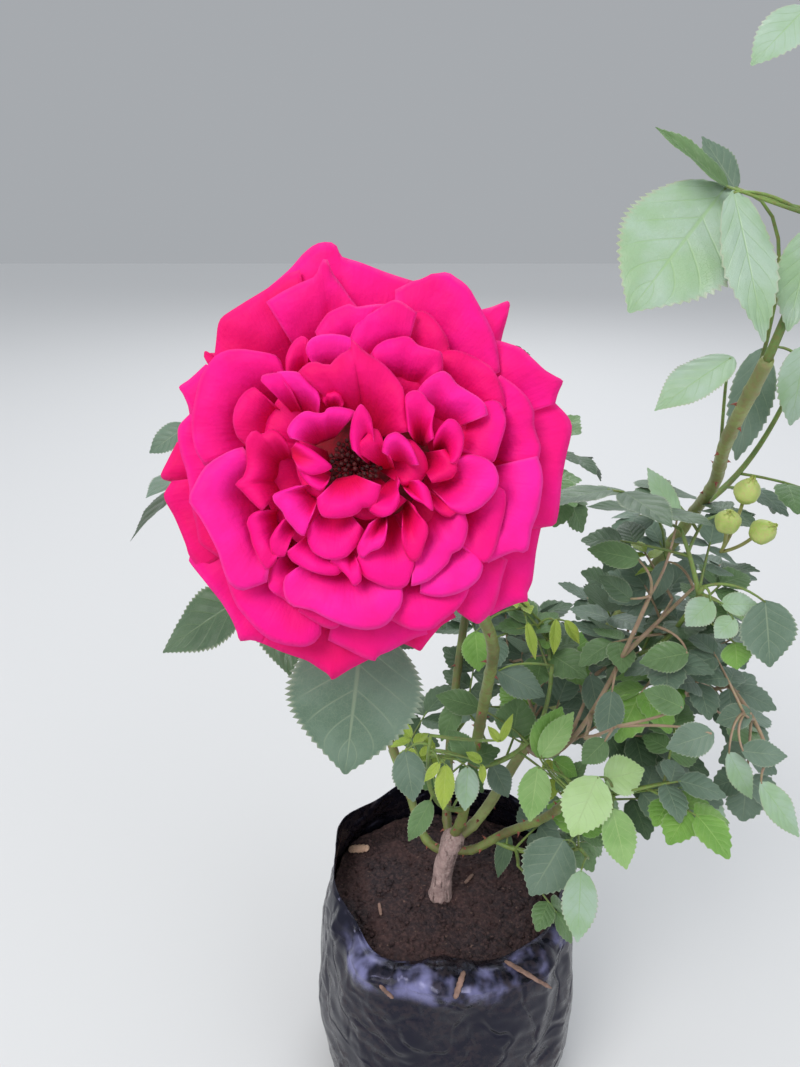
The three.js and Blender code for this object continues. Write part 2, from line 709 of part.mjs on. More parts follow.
// Distance of the bag's outside from its axis: a creased, rounded square that swells at the belly.
function bagRadius(z, a) {
  const power = BAG.squareness;
  const swell = Math.sin(Math.PI * Math.min(1, 0.8 * (z / SOIL_TOP) + 0.1));
  const outline = (Math.abs(Math.cos(a)) ** power + Math.abs(Math.sin(a)) ** power) ** (-1 / power);
  const creases = 0.9 * Math.sin(5 * a + z * 0.045) + 0.7 * Math.sin(9 * a - z * 0.06);
  const foot = z === 0 ? BAG.turnUnder : 0;
  const radius = mix(BAG.baseRadius, BAG.bellyRadius, swell) * mix(1, outline, BAG.squareShare);
  return radius + creases * Math.min(1, z / 25) - foot;
}

// The collar above the soil, from 0 where it leaves the soil to 1 at the rim, as [radius, height].
function collar(s, a) {
  const wave = 0.6 * Math.sin(7 * a + 1.3) + 0.4 * Math.sin(4 * a + 0.4);
  const radius = bagRadius(SOIL_TOP, a);
  const standing = [radius + (2.2 * wave - 3) * s, mix(SOIL_TOP, BAG.height + 4 * wave, s)];
  const hump = Math.sin(Math.PI * 0.9 * s) * (BAG.foldHeight - SOIL_TOP);
  const folded = [
    radius - BAG.foldReach * Math.max(0, s - 0.25) * (1 + 0.18 * wave),
    SOIL_TOP + 2.4 + hump + 1.5 * wave * s,
  ];
  return [mix(standing[0], folded[0], frontness(a)), mix(standing[1], folded[1], frontness(a))];
}

// The collar's inner face: a film's thickness inwards where it stands, and below where it is folded.
function innerCollar(s, a) {
  const [radius, z] = collar(s, a);
  const flat = frontness(a) * s;
  return [radius - BAG.film * mix(1, 0.35, flat), z - 0.9 * BAG.film * flat];
}

// A round shape whose profile changes with bearing: a lathe whose points are set one by one.
// Each ring gives [radius, height] at a bearing, and the first and last lie on the axis.
function lathed(rings) {
  const last = rings.length - 1;
  const profile = rings.map((_, j) => new THREE.Vector2(j === 0 || j === last ? 0 : 10, j));
  const shape = new THREE.LatheGeometry(profile, BAG_TURNS);
  const place = shape.getAttribute("position");
  for (let i = 0; i < place.count; i++) {
    const turn = Math.floor(i / rings.length) % BAG_TURNS;
    const a = turn * ((2 * Math.PI) / BAG_TURNS);
    const [radius, z] = rings[i % rings.length](a);
    place.setXYZ(i, radius * Math.cos(a), radius * Math.sin(a), z);
  }
  return shape;
}

function bag() {
  const rings = [
    () => [0, 0],
    ...BAG_WALL.map((z) => (a) => [bagRadius(z, a), z]),
    ...BAG_COLLAR.map((s) => (a) => collar(s, a)),
    ...BAG_COLLAR.toReversed().map((s) => (a) => innerCollar(s, a)),
    ...BAG_WALL.toReversed().map((z) => (a) => [bagRadius(z, a) - BAG.film, Math.max(z, BAG.film)]),
    () => [0, BAG.film],
  ];
  return ["bag", lathed(rings), LOOKS.film];
}

// Loose, slightly heaped soil that fills the bag to SOIL_TOP at its middle.
function soil() {
  const gap = BAG.film + 6 * CLEAR;
  const bottom = BAG.film + CLEAR;
  const rim = BAG_WALL.at(-1);
  const rimRadius = (a) => bagRadius(rim, a) - gap;
  const lumps = (a) => 1.1 * Math.sin(3 * a + 1) + 0.8 * Math.sin(7 * a);
  const rings = [
    () => [0, bottom],
    (a) => [bagRadius(0, a) - gap, bottom],
    ...BAG_WALL.slice(1, -1).map((z) => (a) => [bagRadius(z, a) - gap, z]),
    (a) => [rimRadius(a), rim - 1],
    (a) => [0.93 * rimRadius(a), SOIL_TOP - 2.5 + 0.8 * lumps(a)],
    (a) => [0.6 * rimRadius(a), SOIL_TOP - 0.6 + 0.35 * lumps(a)],
    () => [16, SOIL_TOP],
    () => [0, SOIL_TOP],
  ];
  return ["soil", lathed(rings), LOOKS.soil];
}

// Assembly

const bush = new THREE.Group();

function place([name, geometry, look]) {
  const mesh = new THREE.Mesh(geometry, new THREE.MeshStandardMaterial(look));
  mesh.name = name;
  bush.add(mesh);
}

standLimbs();
[bag(), soil(), ...Object.keys(LIMBS).map(limb), bloomPetals(), bloomCalyx()].forEach(place);
Object.keys(SINGLE_LEAVES).map(singleLeaf).forEach(place);
Object.keys(MASSES).map(mass).forEach(place);

export default bush;
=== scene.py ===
"""Looks of a potted rose bush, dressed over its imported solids.

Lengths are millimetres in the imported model's own frame until a mesh is made, and metres there.
"""

import json
import logging
import math
from collections.abc import Iterable, Sequence
from dataclasses import dataclass, field, fields
from enum import Enum

import bmesh
import bpy
import numpy as np
from bpy.types import ID, Material, Node, NodeTree, Object
from bpy.types import NodeSocket as Socket
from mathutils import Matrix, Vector, noise

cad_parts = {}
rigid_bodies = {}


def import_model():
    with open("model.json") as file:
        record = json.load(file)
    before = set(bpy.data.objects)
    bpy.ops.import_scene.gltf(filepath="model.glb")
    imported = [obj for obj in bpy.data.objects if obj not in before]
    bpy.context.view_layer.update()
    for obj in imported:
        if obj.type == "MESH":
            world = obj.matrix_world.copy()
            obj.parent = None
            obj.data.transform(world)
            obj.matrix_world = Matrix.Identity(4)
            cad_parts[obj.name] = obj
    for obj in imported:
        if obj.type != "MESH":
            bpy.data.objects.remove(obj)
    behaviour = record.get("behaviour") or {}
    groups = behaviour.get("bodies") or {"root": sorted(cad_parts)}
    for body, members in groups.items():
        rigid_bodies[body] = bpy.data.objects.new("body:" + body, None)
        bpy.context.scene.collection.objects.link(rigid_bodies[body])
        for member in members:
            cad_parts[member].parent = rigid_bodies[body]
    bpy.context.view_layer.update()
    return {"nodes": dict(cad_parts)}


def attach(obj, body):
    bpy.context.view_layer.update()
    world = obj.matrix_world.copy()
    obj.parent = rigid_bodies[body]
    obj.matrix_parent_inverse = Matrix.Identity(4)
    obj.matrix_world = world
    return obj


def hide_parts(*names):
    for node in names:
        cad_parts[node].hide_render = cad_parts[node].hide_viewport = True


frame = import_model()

LOG = logging.getLogger("rose_bush")
MM = 0.001
BODY = "root"
GOLDEN_ANGLE = 137.5
NUDGE = 0.01
UPRIGHT = 0.8
SIDE_VEINS, VEIN_SLANT = 6.0, 1.8

Pair = tuple[float, float]
Triple = tuple[float, float, float]
Array = np.ndarray
Values = float | Array


# Vectors


def unit(v: Array) -> Array:
    """A vector, or rows of them, at length one."""
    return v / np.maximum(np.linalg.norm(v, axis=-1, keepdims=True), 1e-9)


def mix(a: float, b: float, t: float) -> float:
    """The value at share t between a and b."""
    return a + (b - a) * t


def smooth(low: float, high: float, x: Array) -> Array:
    """Eases from 0 at low to 1 at high."""
    t = np.clip((x - low) / (high - low), 0, 1)
    return t * t * (3 - 2 * t)


def bell(x: Array, middle: float, width: float) -> Array:
    """1 at the middle, fading to 0 on both sides."""
    return np.exp(-(((x - middle) / width) ** 2))


def polar(reach: Values, bearing: Values, height: Values) -> Array:
    """A point, or rows of them, from distances to the axis, bearings and heights."""
    x, y = reach * np.cos(bearing), reach * np.sin(bearing)
    return np.stack(np.broadcast_arrays(x, y, height), -1)


def lengths_along(points: Array) -> Array:
    """How far along a line each of its points lies."""
    return np.concatenate([[0], np.cumsum(np.linalg.norm(np.diff(points, axis=0), axis=1))])


def square_to(v: Array, axis: Array) -> Array:
    """The part of v that is square to a unit axis, at length one."""
    return unit(v - axis * np.dot(v, axis))


def level_across(along: Array) -> Array:
    """A direction square to another, and level where that one isn't upright."""
    hint = (0.0, 0.0, 1.0) if abs(along[2]) < UPRIGHT else (0.0, 1.0, 0.0)
    return unit(np.cross(hint, along))


def around(along: Array, bearing: float) -> Array:
    """A direction square to another, at a bearing in degrees round it."""
    across, turn = level_across(along), math.radians(bearing)
    return across * math.cos(turn) + np.cross(across, along) * math.sin(turn)


def lumps(points: Array, scale: float, octaves: int) -> Array:
    """Fractal noise at rows of points, about -1 to 1, with lumps of that scale."""
    return np.array([noise.fractal(Vector(p) / scale, 1.0, 2.0, octaves) for p in points])


class Chance:
    """Repeatable random numbers: the same linear congruential sequence as in the part's source."""

    MODULUS, FACTOR = 2147483647, 16807
    SEED_FACTOR, SEED_OFFSET = 7919, 17

    def __init__(self, seed: int) -> None:
        """Starts the sequence."""
        self.state = seed * self.SEED_FACTOR + self.SEED_OFFSET

    def between(self, least: float = 0.0, most: float = 1.0) -> float:
        """The next number between two limits."""
        self.state = self.state * self.FACTOR % self.MODULUS
        return mix(least, most, self.state / self.MODULUS)


@dataclass(frozen=True)
class Arc:
    """A line from start to end that is drawn towards a bend."""

    start: Array
    bend: Array
    end: Array

    def at(self, t: Values) -> Array:
        """The point, or rows of points, at share t."""
        t = np.asarray(t, float)[..., None]
        return (1 - t) ** 2 * self.start + 2 * t * (1 - t) * self.bend + t * t * self.end

    def along(self, t: float) -> Array:
        """The direction at share t."""
        return unit(self.at(t + NUDGE) - self.at(t - NUDGE))

    def points(self, count: int) -> Array:
        """Points at even shares, the start left out."""
        return self.at(np.arange(1, count + 1) / count)


# Meshes


@dataclass
class Shape:
    """Vertices, faces, a flat map and each face's finish, ready to become one mesh."""

    points: Array
    faces: list[Sequence[int]]
    flat: Array
    dealt: list[int] = field(default_factory=list)

    @staticmethod
    def join(shapes: Iterable["Shape"]) -> "Shape":
        """Puts many shapes into one.

        Args:
            shapes: The shapes, each with its own numbering.

        Returns:
            One shape whose faces are renumbered.
        """
        points, flat, faces, dealt, first = [], [], [], [], 0
        for shape in shapes:
            points.append(shape.points)
            flat.append(shape.flat)
            faces.extend([[i + first for i in face] for face in shape.faces])
            dealt.extend(shape.dealt or [0] * len(shape.faces))
            first += len(shape.points)
        return Shape(np.concatenate(points), faces, np.concatenate(flat), dealt)


def add_object(name: str, data: ID) -> Object:
    """A new object of the scene."""
    thing = bpy.data.objects.new(name, data)
    bpy.context.scene.collection.objects.link(thing)
    return thing


def make_piece(
    name: str,
    shape: Shape,
    finishes: Sequence[Material],
    stands_for: Sequence[str] = (),
) -> Object:
    """Turns a shape into a piece that rides on the bush.

    Args:
        name: The piece's name.
        shape: Its shape, in millimetres.
        finishes: Its materials, in the order that dealt counts them.
        stands_for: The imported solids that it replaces.

    Returns:
        The new object.
    """
    mesh = bpy.data.meshes.new(name)
    mesh.from_pydata((shape.points * MM).tolist(), [], shape.faces)
    corners = np.empty(len(mesh.loops), np.int32)
    mesh.loops.foreach_get("vertex_index", corners)
    layer = mesh.uv_layers.new(name="flat")
    layer.data.foreach_set("uv", shape.flat[corners].astype(np.float32).ravel())
    for finish in finishes:
        mesh.materials.append(finish)
    if shape.dealt:
        mesh.polygons.foreach_set("material_index", shape.dealt)
    mesh.polygons.foreach_set("use_smooth", [True] * len(mesh.polygons))
    mesh.validate()
    mesh.update()
    piece = add_object(name, mesh)
    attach(piece, BODY)
    if stands_for:
        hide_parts(*stands_for)
    LOG.info("%s: %d faces", name, len(mesh.polygons))
    return piece


def thicken(piece: Object, thickness: float, side: float) -> None:
    """Gives a sheet its thickness in millimetres, to the middle (0) or to its inner side (-1)."""
    wall = piece.modifiers.new("thickness", "SOLIDIFY")
    wall.thickness = thickness * MM
    wall.offset = side


class Grid:
    """A flat grid from a mesh operator, read as shares across (-1 to 1) and along (0 to 1)."""

    def __init__(self, across: int, along: int) -> None:
        """Makes the grid.

        Args:
            across: Faces across.
            along: Faces along.
        """
        shape = bmesh.new()
        bmesh.ops.create_grid(shape, x_segments=across, y_segments=along, size=1)
        self.u = np.array([v.co.x for v in shape.verts])
        self.v = np.array([(v.co.y + 1) / 2 for v in shape.verts])
        self.faces = np.array([[v.index for v in f.verts] for f in shape.faces])
        self.rows = along
        shape.free()

    def shape(self, points: Array, dealt: int = 0) -> Shape:
        """A shape whose grid points have moved, all in one finish."""
        flat = np.stack([self.u / 2 + 0.5, self.v], 1)
        return Shape(points, self.faces.tolist(), flat, [dealt] * len(self.faces))


class Round:
    """A closed cylinder from mesh operators, read as bearings round it and shares along it."""

    def __init__(self, sides: int, rings: int, open_end: bool = False) -> None:
        """Makes the cylinder.

        Args:
            sides: Faces round it.
            rings: Faces along it.
            open_end: Whether its far end has no cap.
        """
        shape = bmesh.new()
        bmesh.ops.create_cone(
            shape, cap_ends=True, cap_tris=False, segments=sides, radius1=1, radius2=1, depth=1
        )
        rises = [e for e in shape.edges if abs(e.verts[0].co.z - e.verts[1].co.z) > 0.5]
        if rings > 1:
            bmesh.ops.subdivide_edges(shape, edges=rises, cuts=rings - 1, use_grid_fill=True)
        if open_end:
            caps = [f for f in shape.faces if f.calc_center_median().z > 0.499]
            bmesh.ops.delete(shape, geom=caps, context="FACES_ONLY")
        shape.verts.index_update()
        self.bearing = np.array([math.atan2(v.co.y, v.co.x) for v in shape.verts])
        self.t = np.array([v.co.z + 0.5 for v in shape.verts])
        self.faces = [[v.index for v in f.verts] for f in shape.faces]
        self.ring = np.rint(self.t * rings).astype(int)
        self.shares = np.linspace(0, 1, rings + 1)
        shape.free()

    def shape(self, points: Array) -> Shape:
        """A shape whose points have moved, with bearing and share as its flat map."""
        return Shape(points, self.faces, np.stack([self.bearing / math.tau + 0.5, self.t], 1))

    def bent(self, path: Array, radii: Array, level: bool = False) -> Shape:
        """Bends the cylinder along a path.

        Args:
            path: One point for each ring.
            radii: One radius for each vertex, or for each ring.
            level: Whether every ring stays horizontal.

        Returns:
            The bent shape.
        """
        along = unit(np.gradient(path, axis=0))
        if level:
            along[:] = (0, 0, 1)
        across = np.empty_like(along)
        across[0] = level_across(along[0])
        for i in range(1, len(path)):
            across[i] = square_to(across[i - 1], along[i])
        over, k = np.cross(along, across), self.ring
        if len(radii) == len(path):
            radii = radii[k]
        return self.shape(
            path[k]
            + across[k] * (radii * np.cos(self.bearing))[:, None]
            + over[k] * (radii * np.sin(self.bearing))[:, None]
        )


# Finishes


class Nodes:
    """Adds nodes to a tree and links them."""

    def __init__(self, tree: NodeTree) -> None:
        """Keeps the tree."""
        self.tree = tree

    def feed(self, node: Node, inputs: dict) -> None:
        """Gives a node's inputs, by name or number, their values or links."""
        for key, value in inputs.items():
            if isinstance(value, Socket):
                self.tree.links.new(value, node.inputs[key])
            else:
                node.inputs[key].default_value = value

    def add(self, kind: str, inputs: dict | None = None, **settings: object) -> Node:
        """Adds one node.

        Args:
            kind: The node's type.
            inputs: A value or a socket for each input, by name or number.
            settings: The node's own settings.

        Returns:
            The node.
        """
        node = self.tree.nodes.new(kind)
        for key, value in settings.items():
            setattr(node, key, value)
        self.feed(node, inputs or {})
        return node

    def math(self, operation: str, *values: float | Socket) -> Socket:
        """A math node's result."""
        return self.add("ShaderNodeMath", dict(enumerate(values)), operation=operation).outputs[0]

    def times(self, a: Socket, b: float | Socket) -> Socket:
        """A product."""
        return self.math("MULTIPLY", a, b)

    def line(self, value: Socket, slope: float, start: float | Socket) -> Socket:
        """A value times a slope, plus a start."""
        return self.math("MULTIPLY_ADD", value, slope, start)

    def from_middle(self, value: Socket) -> Socket:
        """0 where a value is a half, and 1 where it is 0 or 1."""
        return self.math("ABSOLUTE", self.line(value, 2.0, -1.0))

    def parts(self, vector: Socket) -> Sequence[Socket]:
        """A vector's three parts."""
        return self.add("ShaderNodeSeparateXYZ", {0: vector}).outputs

    def blend(self, share: float | Socket, a: Socket | Triple, b: Socket | Triple) -> Socket:
        """A colour between a and b."""
        a, b = (c if isinstance(c, Socket) else (*c, 1.0) for c in (a, b))
        return self.add("ShaderNodeMix", {0: share, 6: a, 7: b}, data_type="RGBA").outputs[2]

    def tint(self, body: Socket, mask: Socket, strength: float, tone: Triple) -> Socket:
        """Lays a tone over a body where a mask is."""
        return self.blend(self.times(mask, strength), body, tone)

    def ease(self, value: Socket, low: float, high: float) -> Socket:
        """Eases from 0 where a value is low to 1 where it is high."""
        inputs = {0: value, 1: low, 2: high, 3: 0.0, 4: 1.0}
        return self.add("ShaderNodeMapRange", inputs, interpolation_type="SMOOTHSTEP").outputs[0]

    def grain(self, place: Socket, scale: float, detail: float, stretch: Triple = (1, 1, 1)) -> Socket:
        """Noise over a place, stretched."""
        mapped = self.add("ShaderNodeMapping", {"Vector": place, "Scale": stretch}).outputs[0]
        inputs = {"Vector": mapped, "Scale": scale, "Detail": detail}
        return self.add("ShaderNodeTexNoise", inputs).outputs[0]

    def bump(self, height: Socket, distance: float, strength: float) -> Socket:
        """A normal bent by a height."""
        inputs = {"Height": height, "Distance": distance, "Strength": strength}
        return self.add("ShaderNodeBump", inputs).outputs[0]


def new_group(name: str, takes: dict[str, str], gives: Sequence[str]) -> Nodes:
    """A shader node group with named sockets.

    Args:
        name: The group's name.
        takes: The kind of each input, by name.
        gives: The names of its outputs, which are plain values.

    Returns:
        What adds nodes to the group.
    """
    tree = bpy.data.node_groups.new(name, "ShaderNodeTree")
    sockets = [(key, "INPUT", kind) for key, kind in takes.items()]
    for key, way, kind in sockets + [(key, "OUTPUT", "Float") for key in gives]:
        tree.interface.new_socket(name=key, in_out=way, socket_type="NodeSocket" + kind)
    return Nodes(tree)


def vein_group() -> NodeTree:
    """Midrib, side veins and fine net of a leaflet, from its flat map.

    Returns:
        The group.
    """
    n = new_group("leaf_veins", {"Flat": "Vector", "Pairs": "Float", "Width": "Float"}, ("Vein", "Height"))
    start = n.add("NodeGroupInput").outputs
    parts = n.parts(start["Flat"])
    across, along = n.from_middle(parts[0]), parts[1]
    rib_width = n.times(n.line(along, -0.6, 1.0), start["Width"])
    rib = n.ease(n.math("DIVIDE", across, rib_width), 1.6, 0.4)
    slant = n.math("SUBTRACT", n.times(along, start["Pairs"]), n.times(across, VEIN_SLANT))
    saw = n.math("ABSOLUTE", n.math("SUBTRACT", n.math("FRACT", slant), 0.5))
    side = n.times(n.times(n.ease(saw, 0.07, 0.0), n.ease(across, 1.0, 0.55)), 0.75)
    cells = n.add(
        "ShaderNodeTexVoronoi", {"Vector": start["Flat"], "Scale": 34.0}, feature="DISTANCE_TO_EDGE"
    )
    net = n.times(n.ease(cells.outputs[0], 0.06, 0.0), 0.35)
    vein = n.math("MAXIMUM", n.math("MAXIMUM", rib, side), net)
    height = n.math("SUBTRACT", n.times(saw, 1.2), n.times(vein, 0.6))
    n.feed(n.add("NodeGroupOutput"), {"Vein": vein, "Height": height})
    return n.tree


def mottle_group() -> NodeTree:
    """Soft blotches and fine specks that every finish uses at its own scale.

    Returns:
        The group.
    """
    n = new_group("mottle", {"Place": "Vector", "Scale": "Float"}, ("Blotch", "Speck"))
    start = n.add("NodeGroupInput").outputs
    place, scale = start["Place"], start["Scale"]
    inputs = {"Vector": place, "Scale": scale, "Detail": 3.0}
    blotch = n.add("ShaderNodeTexNoise", inputs).outputs[0]
    inputs = {"Vector": place, "Scale": n.times(scale, 9.0), "Detail": 2.0}
    speck = n.add("ShaderNodeTexNoise", inputs).outputs[0]
    masks = {"Blotch": n.ease(blotch, 0.35, 0.65), "Speck": n.ease(speck, 0.4, 0.7)}
    n.feed(n.add("NodeGroupOutput"), masks)
    return n.tree


@dataclass(frozen=True)
class LeafFinish:
    """A leaf's colours: upper side, its darker blotches, veins, underside and rim."""

    name: str
    upper: Triple
    deep: Triple
    vein: Triple
    under: Triple
    roughness: float
    rim: Triple = (0.55, 0.58, 0.42)


@dataclass(frozen=True)
class PetalFinish:
    """A petal's colours: its root, its upper part and its thin rim, in one of three copies that differ by
    painted light and shade.
    """

    name: str
    root: Triple
    upper: Triple
    rim: Triple


@dataclass(frozen=True)
class SkinFinish:
    """A plain mottled skin: two colours, specks, roughness, scale in spots a metre, and relief."""

    name: str
    light: Triple
    deep: Triple
    speck: Triple
    roughness: float
    scale: float
    relief: float
    stretch: Triple = (1, 1, 1)


class Tone(Enum):
    """The colours that leaves are dealt, spray by spray."""

    DARK = LeafFinish(
        "leaf_dark", (0.075, 0.135, 0.065), (0.04, 0.085, 0.04), (0.14, 0.21, 0.1), (0.12, 0.19, 0.11), 0.36
    )
    # grey-green: a dark leaf colour paled with a painted blue-grey sheen
    GREY = LeafFinish(
        "leaf_grey_painted_sheen", (0.14, 0.215, 0.155), (0.085, 0.15, 0.095), (0.27, 0.34, 0.22), (0.2, 0.28, 0.19), 0.36
    )
    MID = LeafFinish(
        "leaf_mid", (0.12, 0.225, 0.08), (0.07, 0.145, 0.045), (0.2, 0.32, 0.12), (0.2, 0.3, 0.15), 0.34
    )
    BRIGHT = LeafFinish(
        "leaf_bright", (0.2, 0.4, 0.07), (0.12, 0.29, 0.04), (0.33, 0.52, 0.14), (0.3, 0.46, 0.17), 0.34
    )
    # pale whitish green: a leaf colour paled with a painted sheen
    PALE = LeafFinish(
        "leaf_pale_painted_sheen", (0.36, 0.49, 0.38), (0.25, 0.41, 0.2), (0.27, 0.44, 0.18), (0.32, 0.44, 0.27), 0.34,
        (0.5, 0.36, 0.28),
    )
    YOUNG = LeafFinish(
        "leaf_young", (0.38, 0.5, 0.06), (0.25, 0.38, 0.04), (0.48, 0.58, 0.14), (0.42, 0.53, 0.16), 0.36
    )
    LIT = LeafFinish(
        "leaf_lit", (0.47, 0.67, 0.31), (0.37, 0.57, 0.2), (0.4, 0.55, 0.25), (0.42, 0.55, 0.32), 0.34
    )
    FRESH = LeafFinish(
        "leaf_fresh", (0.3, 0.5, 0.17), (0.2, 0.4, 0.1), (0.45, 0.62, 0.25), (0.4, 0.55, 0.24), 0.34
    )

    @property
    def place(self) -> int:
        """Its place in the order of the leaves' finishes."""
        return list(Tone).index(self)


# three copies of one petal colour, dealt petal by petal: the first darker with painted shade, the middle one
# plain, the last paler with painted light
PETAL_FINISHES = (
    PetalFinish("petal_painted_shade", (0.6, 0.0012, 0.045), (0.84, 0.003, 0.17), (0.94, 0.05, 0.32)),
    PetalFinish("petal_mid", (0.66, 0.0015, 0.065), (0.91, 0.005, 0.24), (0.97, 0.09, 0.42)),
    PetalFinish("petal_painted_light", (0.74, 0.0025, 0.1), (0.95, 0.012, 0.32), (1.0, 0.15, 0.52)),
)
SKIN_FINISHES = {
    key: SkinFinish(*row)
    for key, row in {
        # a paler copy of the cane skin: the tall cane's own yellow-green, lightened with painted light
        "tall": (
            "pale_cane_skin_painted_light", (0.35, 0.43, 0.15), (0.23, 0.26, 0.09), (0.3, 0.17, 0.1), 0.42, 45, 0.0004,
            (1, 1, 0.3),
        ),
        "cane": (
            "cane_skin", (0.2, 0.27, 0.07), (0.13, 0.15, 0.045), (0.26, 0.13, 0.07), 0.42, 45, 0.0004,
            (1, 1, 0.3),
        ),
        "stalk": ("stalk_skin", (0.2, 0.32, 0.07), (0.12, 0.2, 0.05), (0.25, 0.14, 0.06), 0.45, 80, 0.0002),
        "pedicel": ("pedicel_skin", (0.3, 0.34, 0.1), (0.2, 0.22, 0.06), (0.34, 0.2, 0.1), 0.45, 120, 0.0001),
        "twig": ("twig_skin", (0.42, 0.28, 0.2), (0.26, 0.17, 0.11), (0.3, 0.32, 0.12), 0.5, 60, 0.0002),
        "bud": ("bud_skin", (0.42, 0.52, 0.14), (0.28, 0.4, 0.08), (0.5, 0.34, 0.18), 0.45, 130, 0.0002),
        "prickle": (
            "prickle_skin", (0.34, 0.08, 0.05), (0.2, 0.04, 0.03), (0.42, 0.22, 0.12), 0.4, 200, 0.0001
        ),
        # deep crimson: painted shade on the bowl under the petals, and the stamen threads' own colour
        "heart": (
            "bloom_heart", (0.25, 0.001, 0.012), (0.1, 0.0005, 0.005), (0.4, 0.004, 0.03), 0.7, 160, 0.0003
        ),
        "anther": (
            "anther", (0.06, 0.006, 0.006), (0.012, 0.004, 0.004), (0.2, 0.02, 0.02), 0.6, 500, 0.0001
        ),
        "chip": (
            "pale_chip", (0.6, 0.4, 0.3), (0.4, 0.24, 0.17), (0.85, 0.6, 0.4), 0.7, 150, 0.0004,
            (0.4, 1, 1),
        ),
        "straw": (
            "straw", (0.27, 0.165, 0.135), (0.14, 0.085, 0.07), (0.35, 0.2, 0.12), 0.75, 180, 0.0004,
            (0.4, 1, 1),
        ),
    }.items()
}


